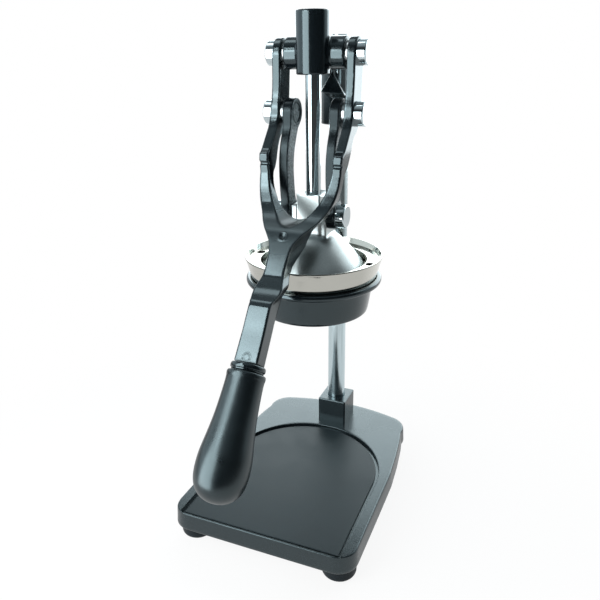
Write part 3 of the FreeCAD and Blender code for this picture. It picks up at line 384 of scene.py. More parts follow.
def tint(tree, value, dark, light, a=0.3, b=0.7):
    """A colour running from dark to light as the value runs from a to b."""
    n = tree.nodes.new("ShaderNodeValToRGB")
    n.color_ramp.elements[0].position = a
    n.color_ramp.elements[0].color = (*dark, 1)
    n.color_ramp.elements[1].position = b
    n.color_ramp.elements[1].color = (*light, 1)
    tree.links.new(value, n.inputs["Fac"])
    return n.outputs["Color"]


def bump(tree, bsdf, layers):
    """Stacks height maps as bumps; each layer is (height, strength, distance in mm)."""
    last = None
    for height, strength, distance in layers:
        n = tree.nodes.new("ShaderNodeBump")
        n.inputs["Strength"].default_value = strength
        n.inputs["Distance"].default_value = distance * MM
        tree.links.new(height, n.inputs["Height"])
        if last is not None:
            tree.links.new(last, n.inputs["Normal"])
        last = n.outputs["Normal"]
    tree.links.new(last, bsdf.inputs["Normal"])


def enamel(name, peel=0.22, rough=(0.13, 0.19), coarse=None):
    """Sprayed dark enamel on a casting: a slight orange peel, fine dust and softer patches.
    coarse is (low, high) for a band of heights, in mm, where the casting's grain shows through."""
    base = (0.0030, 0.0048, 0.0062)
    m, tree, bsdf, co = material(name, base, 0.0, 0.2, 0.95, GLOSS_TINT)
    broad = noise(tree, co, 24, 3)
    fine_grain = noise(tree, co, 900, 3, 0.6)
    peel_map = noise(tree, co, 300, 2, 0.5)
    roughness = remap(tree, broad, rough[0], rough[1])
    layers = [(peel_map, peel, 0.10), (fine_grain, 0.06, 0.04)]
    if coarse:
        start, end = coarse[0] * MM, coarse[1] * MM
        blur_in, blur_out = 5 * MM, 6 * MM
        split = tree.nodes.new("ShaderNodeSeparateXYZ")
        tree.links.new(co, split.inputs["Vector"])
        above = remap(tree, split.outputs["Z"], 0.0, 1.0, start - blur_in, start + blur_in)
        below = remap(tree, split.outputs["Z"], 1.0, 0.0, end - blur_out, end + blur_out)
        zone = math_node(tree, "MULTIPLY", above, below)
        roughness = math_node(tree, "ADD", roughness, math_node(tree, "MULTIPLY", zone, 0.17))
        grains = math_node(tree, "MULTIPLY", noise(tree, co, 950, 3, 0.7), zone)
        layers.append((grains, 0.45, 0.10))
    tree.links.new(roughness, bsdf.inputs["Roughness"])
    light = tuple(c * 1.6 + 0.001 for c in base)
    tree.links.new(tint(tree, fine_grain, base, light, 0.35, 0.75), bsdf.inputs["Base Color"])
    bump(tree, bsdf, layers)
    return m


def metal(name, base, rough, streak=None, streak_strength=0.12, spread=0.06):
    """Bare metal with fine marks; streak stretches the marks along a direction."""
    m, tree, bsdf, co = material(name, base, 1.0, rough)
    marks = noise(tree, co, 700, 4, 0.6, streak)
    cloud = noise(tree, co, 45, 3)
    tree.links.new(remap(tree, cloud, max(rough - spread, 0.02), rough + spread), bsdf.inputs["Roughness"])
    dark = tuple(c * 0.88 for c in base)
    tree.links.new(tint(tree, marks, dark, base, 0.3, 0.62), bsdf.inputs["Base Color"])
    bump(tree, bsdf, [(marks, streak_strength, 0.02), (cloud, 0.03, 0.2)])
    return m


def cast_iron(name):
    """Rough cast sides with a mottled grey skin between edges wiped with black enamel."""
    m, tree, bsdf, co = material(name, (0.02, 0.025, 0.028), 0.0, 0.3, 0.3, GLOSS_TINT)
    normals = tree.nodes.new("ShaderNodeTexCoord")
    facing = tree.nodes.new("ShaderNodeSeparateXYZ")
    tree.links.new(normals.outputs["Normal"], facing.inputs["Vector"])
    turned = tree.nodes.new("ShaderNodeMath")
    turned.operation = "ABSOLUTE"
    tree.links.new(facing.outputs["X"], turned.inputs[0])
    side = remap(tree, turned.outputs[0], 0.0, 1.0, 0.55, 0.85)
    mottle = noise(tree, co, 620, 5, 0.68)
    skin = tint(tree, mottle, (0.010, 0.015, 0.018), (0.23, 0.27, 0.28), 0.40, 0.62)
    blend = tree.nodes.new("ShaderNodeMix")
    blend.data_type = "RGBA"
    tree.links.new(side, blend.inputs["Factor"])
    blend.inputs["A"].default_value = (0.0035, 0.0050, 0.0065, 1)
    tree.links.new(skin, blend.inputs["B"])
    tree.links.new(blend.outputs["Result"], bsdf.inputs["Base Color"])
    tree.links.new(remap(tree, side, 0.24, 0.42, 0.0, 1.0), bsdf.inputs["Roughness"])
    bump(tree, bsdf, [(mottle, 0.55, 0.12), (noise(tree, co, 260, 2), 0.2, 0.10)])
    return m


def rubber(name, base, rough, relief, gloss):
    """Moulded rubber or satin plastic with a fine grain."""
    m, tree, bsdf, co = material(name, base, 0.0, rough, gloss, GLOSS_TINT)
    grains = noise(tree, co, 1300, 3, 0.65)
    cloud = noise(tree, co, 30, 4, 0.6)
    tree.links.new(remap(tree, cloud, rough - 0.07, rough + 0.07), bsdf.inputs["Roughness"])
    light = tuple(c * 1.6 + 0.002 for c in base)
    tree.links.new(tint(tree, cloud, base, light), bsdf.inputs["Base Color"])
    bump(tree, bsdf, [(grains, relief, 0.06)])
    return m


M_ENAMEL = enamel("enamel_dark")
M_LEVER = enamel("enamel_lever", coarse=(266, 294))
M_BASE = enamel("enamel_base", 0.40, (0.23, 0.30))
M_CHROME = metal("chrome_plate", (0.68, 0.77, 0.80), 0.08, None, 0.02, 0.03)
M_COLUMN = metal("column_chrome", (0.66, 0.79, 0.83), 0.20, (1, 1, 0.03), 0.08, 0.05)
M_STEEL = metal("turned_steel", (0.55, 0.58, 0.59), 0.25, None, 0.10, 0.06)
M_BOWL = metal("stainless_bowl", (0.62, 0.62, 0.57), 0.14, (1, 1, 14), 0.06, 0.04)
M_BELL = metal("polished_casting", (0.50, 0.55, 0.55), 0.34, None, 0.04, 0.04)
M_BUSH = metal("bronze_bush", (0.70, 0.50, 0.26), 0.30, None, 0.1, 0.05)
M_CAST = cast_iron("cast_link")
M_MAT = rubber("mat_rubber", (0.007, 0.011, 0.013), 0.44, 0.25, 0.34)
M_FEET = rubber("foot_rubber", (0.005, 0.007, 0.009), 0.45, 0.15, 0.25)
M_GRIP = rubber("grip_satin", (0.0020, 0.0034, 0.0045), 0.31, 0.05, 0.95)




# Hand lever: a side outline met by a front outline, with rounded edges
SIDE = [
    (24.2, 420.5), (23.6, 413.0), (22.6, 409.4), (21.2, 400.4), (20.0, 387.0), (17.8, 375.0),
    (17.4, 367.0), (11.2, 358.0), (-2.8, 350.0), (-7.8, 341.0), (-12.4, 332.0), (-16.3, 326.0),
    (-22.0, 322.5), (-25.4, 316.0), (-28.4, 306.0), (-32.6, 296.0), (-33.4, 284.0), (-30.8, 273.0),
    (-42.8, 263.0), (-57.3, 258.5), (-71.8, 253.0), (-82.8, 246.0), (-92.8, 236.0),
    (-105.4, 224.5), (-132.0, 190.43, 0.8), (-144.0, 199.8, 0.8), (-129.1, 218.8),
    (-117.2, 235.6, 1.6), (-113.6, 238.4, 1.6), (-107.5, 240.6, 3.0), (-102.0, 243.2, 3.0),
    (-91.0, 251.6, 0.9), (-84.0, 260.6), (-77.0, 269.8), (-71.5, 277.0), (-66.5, 282.6),
    (-60.0, 286.2), (-51.5, 290.5), (-43.8, 298.0), (-37.4, 309.5),
    (-32.2, 324.0, 0.8), (-32.2, 328.9, 0.8), (-30.2, 330.9, 0.8), (-32.4, 332.9, 0.8),
    (-31.4, 339.0, 0.8), (-26.2, 342.3, 0.8), (-11.3, 359.0, 0.8), (-7.2, 367.0), (-6.2, 375.0),
    (-3.4, 384.0), (-2.0, 394.0), (-1.4, 404.0), (-1.2, 412.0), (-1.0, 418.4), (0.8, 425.0),
    (5.4, 429.8), (11.6, 431.4), (18.4, 429.6), (22.8, 425.4),
]
OUTER = [
    (37.4, 440.0), (37.4, 382.0), (38.0, 372.0), (38.0, 340.0), (37.0, 326.0), (36.3, 312.0),
    (33.2, 300.0), (26.2, 289.0), (22.0, 285.4), (17.6, 281.8), (14.0, 278.0), (10.9, 274.0),
    (9.3, 268.0), (8.8, 252.0), (12.4, 243.4), (11.8, 240.8), (9.5, 237.2), (9.9, 210.0),
    (10.6, 170.0),
]
INNER = [
    (29.8, 450.0), (29.8, 382.0), (29.5, 372.0), (29.7, 340.0), (28.6, 324.0), (25.4, 310.0),
    (20.4, 300.0), (14.0, 291.4), (7.5, 286.6),
]


def mirror(side, bottom=None):
    """The whole outline from its right half, with an optional point on the middle line."""
    out = list(side)
    if bottom is not None:
        out.append(bottom)
    return out + [(-a, b) for a, b in reversed(side)]


# Two marks on the lever's front, as (y, z, slope of the face in degrees)
DIMPLE = (-69.4, 279.4, 48.0)
RING = (-141.6, 202.9, 51.9)


def on_face(y, z, mark):
    """Distances along a sloping face and out of it, from a mark's (y, z, slope)."""
    c, s = math.cos(math.radians(mark[2])), math.sin(math.radians(mark[2]))
    return (y - mark[0]) * c + (z - mark[1]) * s, (z - mark[1]) * c - (y - mark[0]) * s


def lever_shape(x, y, z):
    side = poly_distance(y, z, eased(SIDE, 5.0))
    front = poly_distance(x, z, eased(mirror(OUTER), 6.0))
    gap = poly_distance(x, z, eased(mirror(INNER, (0.0, 284.8)), 6.0))
    d = both(side, front, 1.1)
    d = less(d, gap, 1.1)
    d = np.maximum(d, -tube(y, z, TOP[0], TOP[1], TOP_BORE))
    d = np.maximum(d, -tube(y, z, MID[0], MID[1], MID_BORE))
    # A dimple with a low rim on the crotch
    along, out = on_face(y, z, DIMPLE)
    across = np.sqrt(x * x + along * along)
    d = either(d, np.sqrt((across - 3.5) ** 2 + out * out) - 0.55, 0.6)
    d = less(d, np.sqrt(across * across + (out - 2.4) ** 2) - 3.9, 0.5)
    # A plain ring mark near the foot of the bar
    along, out = on_face(y, z, RING)
    across = np.sqrt(x * x + along * along)
    return less(d, np.sqrt((across - 3.2) ** 2 + out * out) - 0.32, 0.15)


lever = solid("hand_lever", (-39.2, -146.4, 189.2), (39.2, 25.4, 432.6), 0.7, lever_shape)
dress(lever, M_LEVER, "lever", ["yoke_lever"])


# Links
LINK = [
    (5.2, 382.2), (-0.8, 380.6), (-5.2, 376.6), (-7.0, 370.0), (-7.6, 357.9), (-13.6, 346.7),
    (-17.0, 333.7), (-17.6, 322.5), (-16.8, 307.8), (-14.8, 294.0), (-17.0, 285.4), (-14.6, 276.6),
    (-9.6, 272.6), (-2.8, 272.4), (3.0, 276.0), (5.6, 282.4), (4.6, 288.6), (0.2, 297.4),
    (-1.4, 309.5), (-2.6, 322.5), (-1.0, 335.4), (3.2, 345.8), (10.4, 359.0), (16.2, 365.6),
    (17.2, 371.4), (15.2, 377.6), (10.8, 381.0),
]


def link_shape(x, y, z):
    side = poly_distance(y, z, eased(LINK, 5.0))
    d = both(side, slab(np.abs(x), 17.5, 25.8), 1.0)
    eye = both(tube(y, z, MID[0], MID[1], 12.0), slab(np.abs(x), 17.2, 26.0), 0.9)
    low = both(tube(y, z, LOW[0], LOW[1], 11.6), slab(np.abs(x), 17.2, 26.0), 0.9)
    d = either(either(d, eye, 1.5), low, 1.5)
    radius = np.sqrt((y - MID[0]) ** 2 + (z - MID[1]) ** 2)
    groove = np.sqrt((radius - 9.6) ** 2 + (np.abs(x) - 17.2) ** 2) - 0.75
    d = less(d, groove, 0.3)
    d = np.maximum(d, -tube(y, z, MID[0], MID[1], LINK_MID_BORE))
    return np.maximum(d, -tube(y, z, LOW[0], LOW[1], LINK_LOW_BORE))


for name, lo, hi in (("link_l", -26.8, -16.2), ("link_r", 16.2, 26.8)):
    piece = solid(name, (lo, -19.0, 270.5), (hi, 19.0, 384.0), 0.55, link_shape)
    dress(piece, M_CAST, "links", ["link_left" if lo < 0 else "link_right"])


# Head casting
def head_shape(x, y, z):
    flat = np.sqrt(x * x + y * y)
    barrel = both(flat - 14.1, slab(z, 401.5, 451.3), 1.2)
    cross = both(tube(y, z, TOP[0], TOP[1], 13.3), slab(x, -27.0, 27.0), 0.7)
    back = np.sqrt(x * x + (y - COLUMN_Y) ** 2)
    sleeve = both(back - 17.2, slab(z, 355.3, 431.0), 1.0)
    # The slot in the sleeve's right side
    window = np.maximum(np.maximum(slab(x, -0.5, 30.0), slab(y, 42.0, 92.0)), slab(z, 382.4, 404.9))
    sleeve = less(sleeve, window, 0.8)
    web_line = [(8, 407.4), (54, 406.4), (58, 388.4), (66, 388.4), (66, 430), (54, 430), (8, 429.9)]
    web = both(poly_distance(y, z, web_line), slab(x, -9.0, 9.0), 2.0)
    web = less(web, window, 0.8)
    d = either(barrel, cross, 2.2)
    d = either(d, web, 3.0)
    d = either(d, sleeve, 2.0)
    # The slanting rib in front of the sleeve
    d = either(d, pyramid(x, y, z), 1.0)
    d = np.maximum(d, -(back - COLUMN_BORE))
    return np.maximum(d, -(flat - ROD_BORE))


def pyramid(x, y, z):
    """The space inside four slanting faces and two under them, as far back as the sleeve."""
    apex = np.array([1.2, 44.8, 403.6])
    base = [np.array(p) for p in ((-9.4, 44.0, 386.0), (-6.4, 34.8, 385.2), (13.8, 42.0, 383.4))]
    back = [np.array(p) for p in ((9.0, 58.0, 383.4), (-8.0, 58.0, 385.4))]
    # A point of the underside, which slopes down towards the sleeve
    under = np.array([2.0, 58.0, 378.0])
    faces = [
        (apex, base[0], base[1]),
        (apex, base[1], base[2]),
        (apex, base[2], back[0]),
        (apex, back[1], base[0]),
        (base[0], base[1], under),
        (base[1], base[2], under),
    ]
    centre = np.array([1.0, 48.0, 390.0])
    d = None
    for a, b, c in faces:
        n = np.cross(b - a, c - a)
        n = n / np.linalg.norm(n)
        if np.dot(n, centre - a) > 0:
            n = -n
        plane = n[0] * (x - a[0]) + n[1] * (y - a[1]) + n[2] * (z - a[2])
        d = plane if d is None else both(d, plane, 0.9)
    return np.maximum(d, y - 60.0)


head = solid("head", (-28.2, -15.6, 354.0), (28.2, 86.6, 452.8), 0.7, head_shape)
dress(head, M_ENAMEL, "frame", ["head_casting"])


# Pressing bell
BELL = [
    (0.0, 266.0), (12.0, 266.0), (17.0, 265.6), (21.9, 263.4), (26.0, 260.0), (31.0, 254.8),
    (36.0, 249.2), (42.0, 242.0), (45.6, 237.2), (47.4, 233.2), (47.8, 231.2), (47.4, 230.6),
    (44.4, 230.6), (38.5, 237.1), (30.0, 247.0), (20.0, 254.6), (10.0, 257.6), (0.0, 258.1),
]


def bell_shape(x, y, z):
    r = np.sqrt(x * x + y * y)
    line = [(-a, b) for a, b in reversed(BELL[1:-1])]
    cone = poly_distance(r, z, eased(BELL + line, 4.0))
    block = both(both(slab(x, -16.9, 16.9), slab(y, -13.0, 13.0), 0.8), slab(z, 260.0, 292.5), 1.4)
    hub = both(slab(x, -11.0, 11.0), slab(y, -14.3, 14.3), 0.8)
    dish = (z - (298.8 + (r - 6.6) * 0.411)) * 0.92
    hub = both(both(hub, slab(z, 262.0, 303.0), 0.5), dish, 0.5)
    d = either(cone, either(block, hub, 1.0), 1.3)
    return np.maximum(d, -(r - BELL_BORE))


bell = solid("bell", (-48.6, -48.6, 229.6), (48.6, 48.6, 304.2), 0.75, bell_shape)
dress(bell, M_BELL, "plunger", ["press_bell"])


# Bowl and its holder
bowl = lathe(
    "bowl",
    fine(
        [
            (49.33, 221.55), (57.3, 221.55), (58.8, 225.3), (63.0, 242.0), (64.0, 243.7), (64.0, 245.0),
            (63.4, 245.3), (62.3, 244.9), (60.7, 239.0), (59.6, 238.8), (56.6, 222.9),
            (49.33, 222.85), (49.33, 221.55),
        ],
        1,
        keep=(1,),
    ),
)
# The column passes through a notch in the rim
notch = lathe("notch_tool", [(0.0, 215.0), (10.25, 215.0), (10.25, 250.0), (0.0, 250.0)], (COLUMN_Y, 0.0))
cut_away(bowl, notch)
sharp(bowl, 40)
dress(bowl, M_BOWL, "frame", ["juice_bowl"])

holder = lathe(
    "holder",
    fine(
        [
            (49.4, 221.5), (46.5, 211.5), (46.5, 191.4), (50.0, 191.4), (51.6, 193.0),
            (55.0, 216.0), (56.4, 219.5), (61.6, 219.3), (63.4, 220.6), (63.4, 224.0),
            (61.8, 225.3), (59.0, 225.3), (57.6, 221.5), (49.4, 221.5),
        ],
        2,
        keep=(1,),
    ),
)
dress(holder, M_ENAMEL, "frame")


def collar_shape(x, y, z):
    back = np.sqrt(x * x + (y - COLUMN_Y) ** 2)
    ring = both(back - 17.0, slab(z, 193.4, 217.4), 1.2)
    neck = both(both(slab(x, -13.0, 13.0), slab(y, 48.5, 60.0), 1.0), slab(z, 195.4, 215.9), 1.2)
    d = either(ring, neck, 3.0)
    return np.maximum(d, -(back - COLUMN_BORE))


collar = solid("holder_collar", (-18.2, 47.0, 192.2), (18.2, 86.2, 218.6), 0.7, collar_shape)
dress(collar, M_ENAMEL, "frame", ["bowl_holder"])

# Grip and its ferrule, turned about the bar's axis
GRIP_AT = (-138.0, 195.0)
GRIP_TILT = -38.0
ferrule = lathe(
    "ferrule",
    fine(
        [
            (8.0, -6.45), (12.8, -6.45), (13.0, -4.9), (14.0, -4.3), (14.0, -1.5), (12.9, -0.15),
            (8.0, -0.1), (8.0, -6.45),
        ],
        2,
        keep=(1,),
    ),
    centre=GRIP_AT,
    tilt=GRIP_TILT,
)
dress(ferrule, M_ENAMEL, "lever", ["grip_ferrule"])
grip = lathe(
    "hand_grip",
    fine(
        [
            (9.0, -6.6), (14.4, -6.6), (15.4, -7.6), (15.45, -10.0), (15.0, -11.6),
            (15.1, -18.5), (15.8, -32.5), (16.8, -44.5), (18.3, -55.5), (19.9, -65.5),
            (20.8, -72.5), (21.0, -79.0), (20.8, -85.0), (19.8, -91.0), (17.6, -96.4),
            (13.8, -101.0), (8.6, -104.2), (3.1, -105.5), (0.0, -105.6),
        ],
        2,
    ),
    centre=GRIP_AT,
    tilt=GRIP_TILT,
)
dress(grip, M_GRIP, "lever", ["grip"])


# Base plate, lofted through outlines seen from a point on its middle line
def arc_points(p, q, radius, n=14):
    """Points along the arc from p to q, turning left."""
    mx, my = (p[0] + q[0]) / 2, (p[1] + q[1]) / 2
    dx, dy = q[0] - p[0], q[1] - p[1]
    half = math.hypot(dx, dy) / 2
    rise = math.sqrt(max(radius * radius - half * half, 0))
    cx, cy = mx - dy / (2 * half) * rise, my + dx / (2 * half) * rise
    a0 = math.atan2(p[1] - cy, p[0] - cx)
    a1 = math.atan2(q[1] - cy, q[0] - cx)
    if a1 < a0:
        a1 += 2 * math.pi
    turns = [a0 + (a1 - a0) * k / n for k in range(n + 1)]
    return [(cx + radius * math.cos(a), cy + radius * math.sin(a)) for a in turns]


def base_line(half, front, back, radius):
    """The base's outline at its top edge."""
    pts = arc_points((half - radius, front), (half, front + radius), radius)
    pts += [(half - 0.5, back - 111.0), (half - 3.0, back - 79.0), (half - 6.4, back - 50.0)]
    pts += arc_points((half - 8.8, back - 36.0), (half - 27.0, back - 9.5), radius + 4.0)
    pts += arc_points((half - 27.0, back - 9.5), (-(half - 27.0), back - 9.5), half + 112.0, 30)[1:-1]
    left = [(-a, b) for a, b in reversed(pts)]
    seen = []
    for p in pts + left:
        if not seen or math.hypot(p[0] - seen[-1][0], p[1] - seen[-1][1]) > 0.3:
            seen.append(p)
    return seen


# The point inside every outline of the base and the mat from which they are measured, as (x, y)
HUB = (0.0, -34.0)


def reach(outline, angles):
    """How far the outline lies from the hub along each angle."""
    out = np.zeros(len(angles))
    pts = [(a - HUB[0], b - HUB[1]) for a, b in outline]
    for i in range(len(pts)):
        (ax, ay), (bx, by) = pts[i], pts[(i + 1) % len(pts)]
        dx, dy = np.cos(angles), np.sin(angles)
        ex, ey = bx - ax, by - ay
        cross = dx * ey - dy * ex
        parallel = np.abs(cross) < 1e-12
        safe = np.where(parallel, 1, cross)
        t = (ax * ey - ay * ex) / safe
        s = (ax * dy - ay * dx) / safe
        ok = ~parallel & (t > 0) & (s >= -1e-6) & (s <= 1 + 1e-6)
        out = np.where(ok, np.maximum(out, t), out)
    return out


def arched(half, front):
    """A square front and a half round back, which starts at y -36."""
    bend = [(half * math.cos(a), -36.0 + half * math.sin(a)) for a in np.linspace(0, math.pi, 60)]
    return [(-half, front), (half, front)] + bend


RECESS_HALF, RECESS_FRONT = 77.1, -139.3
MAT_HALF, MAT_FRONT = 74.0, -137.0
TOP_FACE, RECESS_FLOOR, MAT_FACE = 32.0, 29.0, 30.5
recess = arched(RECESS_HALF, RECESS_FRONT)
mat_line = arched(MAT_HALF, MAT_FRONT)


def loft(name, levels, angles):
    """levels holds (distance from the hub at each angle, height at each angle or one number)."""
    pts, faces = [], []
    n = len(angles)
    for far, high in levels:
        high = np.broadcast_to(high, (n,))
        for k, a in enumerate(angles):
            pts.append((HUB[0] + far[k] * math.cos(a), HUB[1] + far[k] * math.sin(a), high[k]))
    for row in range(len(levels) - 1):
        for k in range(n):
            m = (k + 1) % n
            faces.append((row * n + k, row * n + m, (row + 1) * n + m, (row + 1) * n + k))
    last = (len(levels) - 1) * n
    pts.append((HUB[0], HUB[1], float(np.broadcast_to(levels[-1][1], (n,))[0])))
    for k in range(n):
        faces.append((last + k, last + (k + 1) % n, len(pts) - 1))
    return new_mesh(name, pts, faces)


# Even steps round the hub, and one angle for each square corner of the recess and the mat
corner = [math.atan2(RECESS_FRONT - HUB[1], s * RECESS_HALF) for s in (-1, 1)]
corner += [math.atan2(MAT_FRONT - HUB[1], s * MAT_HALF) for s in (-1, 1)]
even = np.linspace(-math.pi, math.pi, 480, endpoint=False)
angles = np.unique(np.round(np.concatenate([even, corner]), 6))
high = reach(base_line(87.0, -141.2, 96.0, 18.0), angles)
back_ness = np.clip((HUB[1] + high * np.sin(angles) - 80.0) / 14.0, 0, 1)
low = high + 1.2 + 3.3 * back_ness**2 * (3 - 2 * back_ness)
front_ness = np.clip((-(HUB[1] + high * np.sin(angles)) - 128.0) / 10.0, 0, 1)
fillet = 2.6 * (1 - front_ness) + 0.7 * front_ness
inner = reach(recess, angles)


def side_at(t):
    """The sloping side's reach, from the foot of the side at 0 to its top at 1."""
    return low * (1 - t) + high * t


# From the pocket under the base, out round the side, and in over the top to the recess
levels = [(reach([(-79, -96), (79, -96), (79, 34), (-79, 34)], angles) * 0.98, 22.4)]
levels.append((levels[0][0], FOOT))
levels.append((low - 1.2, FOOT))
levels.append((low - 0.35, FOOT + 0.25))
levels.append((low, FOOT + 1.0))
for t in (0.2, 0.4, 0.6, 0.75):
    levels.append((side_at(t), FOOT + (TOP_FACE - FOOT) * t))
for a in np.linspace(0, 90, 7):
    s, c = math.sin(math.radians(a)), math.cos(math.radians(a))
    levels.append((side_at(0.97) - fillet * (1 - c), TOP_FACE - fillet * (1 - s)))
top_edge = side_at(0.97) - fillet
for t in (0.06, 0.3, 0.7, 0.94):
    levels.append((top_edge * (1 - t) + inner * t, TOP_FACE))
for a in np.linspace(0, 90, 4):
    s, c = math.sin(math.radians(a)), math.cos(math.radians(a))
    levels.append((inner + 0.5 * (1 - s), TOP_FACE - 0.5 * (1 - c)))
levels.append((inner, RECESS_FLOOR))
base = loft("base", levels, angles)
sharp(base, 50)


def socket_shape(x, y, z):
    block = both(slab(x, -15.55, 15.55), slab(y - COLUMN_Y, -16.15, 16.15), 1.2)
    d = both(block, slab(z, 30.0, 58.8), 0.9)
    return np.maximum(d, -(np.sqrt(x * x + (y - COLUMN_Y) ** 2) - COLUMN_BORE))


socket_low = (-15.55 - 1.4, COLUMN_Y - 16.15 - 1.4, 30.0 - 1.4)
socket_high = (15.55 + 1.4, COLUMN_Y + 16.15 + 1.4, 58.8 + 1.4)
socket = solid("column_socket", socket_low, socket_high, 0.6, socket_shape)
dress(base, M_BASE, "frame", ["base_plate"])
dress(socket, M_BASE, "frame")

mat_far = reach(mat_line, angles)
mat = loft(
    "cup_mat_top",
    [
        (mat_far - 3.0, 29.02), (mat_far, 29.02), (mat_far, 30.0), (mat_far - 0.2, 30.35),
        (mat_far - 0.6, MAT_FACE), (mat_far - 1.0, MAT_FACE), (mat_far - 4.0, MAT_FACE),
        (mat_far * 0.8, MAT_FACE), (mat_far * 0.5, MAT_FACE), (mat_far * 0.2, MAT_FACE),
    ],
    angles,
)
sharp(mat, 60)
dress(mat, M_MAT, "frame", ["cup_mat"])

# Plain nodes keep their shape and take a finish
FINISH = {
    "rubber_feet": M_FEET, "foot_screws": M_STEEL, "column": M_COLUMN, "column_washer": M_STEEL,
    "column_nut": M_STEEL, "socket_set_screw": M_STEEL, "holder_clamp_screw": M_STEEL,
    "strainer": M_BOWL, "bowl_funnel": M_BOWL, "spout_tube": M_BOWL,
    "head_set_screws": M_STEEL, "guide_bushes": M_BUSH, "top_pins": M_STEEL,
    "top_caps": M_CHROME, "top_washers": M_STEEL, "plunger_rod": M_CHROME, "low_pins": M_STEEL,
    "low_caps": M_CHROME, "mid_pin_ends": M_CAST, "mid_pins": M_STEEL, "mid_caps": M_CHROME,
    "mid_washers": M_STEEL,
}
for node, finish in FINISH.items():
    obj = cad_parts[node]
    obj.data.materials.clear()
    obj.data.materials.append(finish)

# Floor, light and camera
floor_mesh = bpy.data.meshes.new("floor")
floor_mesh.from_pydata([(-6, -6, 0), (6, -6, 0), (6, 6, 0), (-6, 6, 0)], [], [(0, 1, 2, 3)])
floor = bpy.data.objects.new("floor", floor_mesh)
bpy.context.scene.collection.objects.link(floor)
m_floor, tree, bsdf, co = material("floor_white", (0.90, 0.90, 0.90), 0.0, 0.7, 0.1)


def emitter(tree, strength):
    n = tree.nodes.new("ShaderNodeEmission")
    n.inputs["Color"].default_value = (1, 1, 1, 1)
    if isinstance(strength, (int, float)):
        n.inputs["Strength"].default_value = strength
    else:
        tree.links.new(strength, n.inputs["Strength"])
    return n.outputs[0]


def mixed(tree, factor, first, second):
    n = tree.nodes.new("ShaderNodeMixShader")
    tree.links.new(factor, n.inputs["Fac"])
    tree.links.new(first, n.inputs[1])
    tree.links.new(second, n.inputs[2])
    return n.outputs[0]


seen = tree.nodes.new("ShaderNodeLightPath")
far = tree.nodes.new("ShaderNodeVectorMath")
far.operation = "LENGTH"
tree.links.new(co, far.inputs[0])
fade = remap(tree, far.outputs["Value"], 0.90, 1.0, 0.16, 0.45)
# Painted reflection: in glossy rays the sheet glows in place of its own lit shade, pale near the object
# and behind, dim further out in front
spot = tree.nodes.new("ShaderNodeSeparateXYZ")
tree.links.new(co, spot.inputs["Vector"])
near = remap(tree, far.outputs["Value"], 0.74, 0.05, 0.50, 1.15)
behind = remap(tree, spot.outputs["Y"], 0.0, 0.60, 0.2, 0.9)
painted_floor_reflection = emitter(tree, math_node(tree, "ADD", near, behind))
rays = math_node(tree, "ADD", seen.outputs["Is Camera Ray"], seen.outputs["Is Transmission Ray"], True)
surface = mixed(tree, math_node(tree, "MULTIPLY", rays, fade), bsdf.outputs[0], emitter(tree, 1.0))
# Glossy rays see the painted reflection glow of the sheet, not its lit shade
surface = mixed(tree, seen.outputs["Is Glossy Ray"], surface, painted_floor_reflection)
tree.links.new(surface, tree.nodes["Material Output"].inputs["Surface"])
floor_mesh.materials.append(m_floor)


LAMP_COLOR = (0.92, 0.98, 1.0)


def lamp(name, target, azimuth, elevation, distance, wide, high, glare):
    """A soft box seen from target: azimuth runs from the front to the right, in degrees,
    and glare is how bright its face looks against a white of 1."""
    a, e = math.radians(azimuth), math.radians(elevation)
    way = Vector((math.sin(a) * math.cos(e), -math.cos(a) * math.cos(e), math.sin(e)))
    data = bpy.data.lights.new(name, "AREA")
    data.shape = "RECTANGLE"
    data.size = wide
    data.size_y = high
    data.energy = math.pi * glare * wide * high
    data.color = LAMP_COLOR
    obj = bpy.data.objects.new(name, data)
    obj.location = Vector(target) + way * distance
    obj.rotation_euler = (-way).to_track_quat("-Z", "Y").to_euler()
    bpy.context.scene.collection.objects.link(obj)


lamp("front", (0.0, 0.05, 0.30), -28, 0, 0.56, 0.44, 0.60, 5.2)
lamp("bar_light", (0.0, -0.07, 0.222), -35.7, 43.5, 0.48, 0.15, 0.11, 6.6)
lamp("stem_light", (0.0, -0.033, 0.256), -37.8, 47.8, 0.585, 0.12, 0.05, 7.0)
lamp("overhead", (0.0, -0.01, 0.28), -102, 67, 1.0, 0.30, 0.36, 2.2)
lamp("right", (0.0, 0.055, 0.25), 132, 44, 0.9, 0.40, 0.40, 1.3)
lamp("backdrop", (0.0, 0.0, 0.25), 180, 15, 1.42, 2.4, 1.1, 3.0)

world = bpy.data.worlds.new("studio")
bpy.context.scene.world = world
world.use_nodes = True
wt = world.node_tree
wt.nodes.clear()
out = wt.nodes.new("ShaderNodeOutputWorld")
lit = wt.nodes.new("ShaderNodeBackground")
shown = wt.nodes.new("ShaderNodeBackground")
path = wt.nodes.new("ShaderNodeLightPath")
geo = wt.nodes.new("ShaderNodeTexCoord")
split = wt.nodes.new("ShaderNodeSeparateXYZ")
wt.links.new(geo.outputs["Generated"], split.inputs["Vector"])
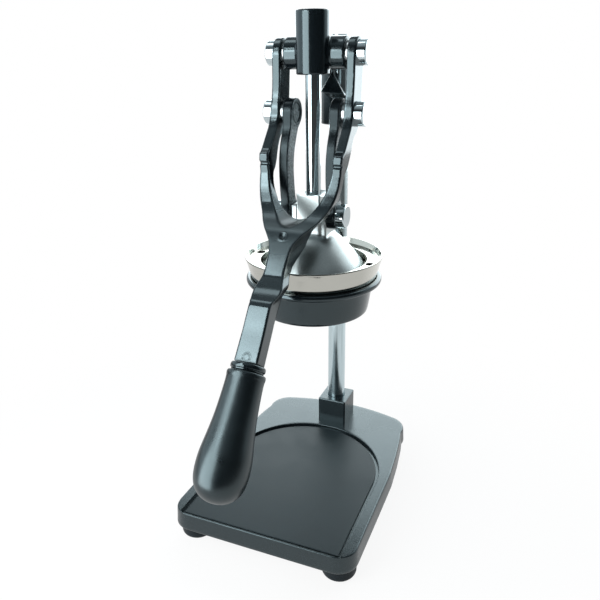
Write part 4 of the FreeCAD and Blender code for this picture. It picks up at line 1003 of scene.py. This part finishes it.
# The studio glows on the left and at the back, less above, and a little straight overhead
glow_left = remap(wt, split.outputs["X"], 1.0, 0.0, -0.85, -0.50, "SMOOTHSTEP")
glow_back = remap(wt, split.outputs["Y"], 0.0, 1.0, 0.1, 0.6, "SMOOTHSTEP")
glow_low = remap(wt, split.outputs["Z"], 1.0, 0.15, 0.35, 0.75, "SMOOTHSTEP")
glow_top = remap(wt, split.outputs["Z"], 0.04, 0.36, 0.60, 0.92, "SMOOTHSTEP")
level = math_node(wt, "MULTIPLY", math_node(wt, "MAXIMUM", glow_left, glow_back), glow_low)
wt.links.new(math_node(wt, "ADD", level, glow_top), lit.inputs["Strength"])
lit.inputs["Color"].default_value = (0.84, 0.95, 1.0, 1)
shown.inputs["Color"].default_value = (1, 1, 1, 1)
shown.inputs["Strength"].default_value = 1.0
whole = mixed(wt, path.outputs["Is Camera Ray"], lit.outputs["Background"], shown.outputs["Background"])
wt.links.new(whole, out.inputs["Surface"])

# The camera as solved from the photograph: focal length in pixels, place in mm, angles in degrees
FOCAL, PICTURE, SENSOR = 626.92, 600.0, 36.0
EYE = (204.61, -521.38, 403.15)
az, pitch, roll = math.radians(22.80), math.radians(21.47), math.radians(0.77)
cam_data = bpy.data.cameras.new("camera")
cam = bpy.data.objects.new("camera", cam_data)
bpy.context.scene.collection.objects.link(cam)
bpy.context.scene.camera = cam
cam_data.sensor_width = SENSOR
cam_data.lens = SENSOR * FOCAL / PICTURE
cam_data.clip_start = 0.01
right = Vector((math.cos(az), math.sin(az), 0))
ahead = Vector((-math.sin(az) * math.cos(pitch), math.cos(az) * math.cos(pitch), -math.sin(pitch)))
down = ahead.cross(right)
r_axis = right * math.cos(roll) + down * math.sin(roll)
d_axis = -right * math.sin(roll) + down * math.cos(roll)
turn = Matrix((r_axis, -d_axis, -ahead)).transposed().to_4x4()
cam.matrix_world = Matrix.Translation(Vector((EYE[0], EYE[1] + BACK, EYE[2] + FOOT)) * MM) @ turn

bpy.context.scene.view_settings.view_transform = "Standard"
bpy.context.scene.view_settings.look = "None"
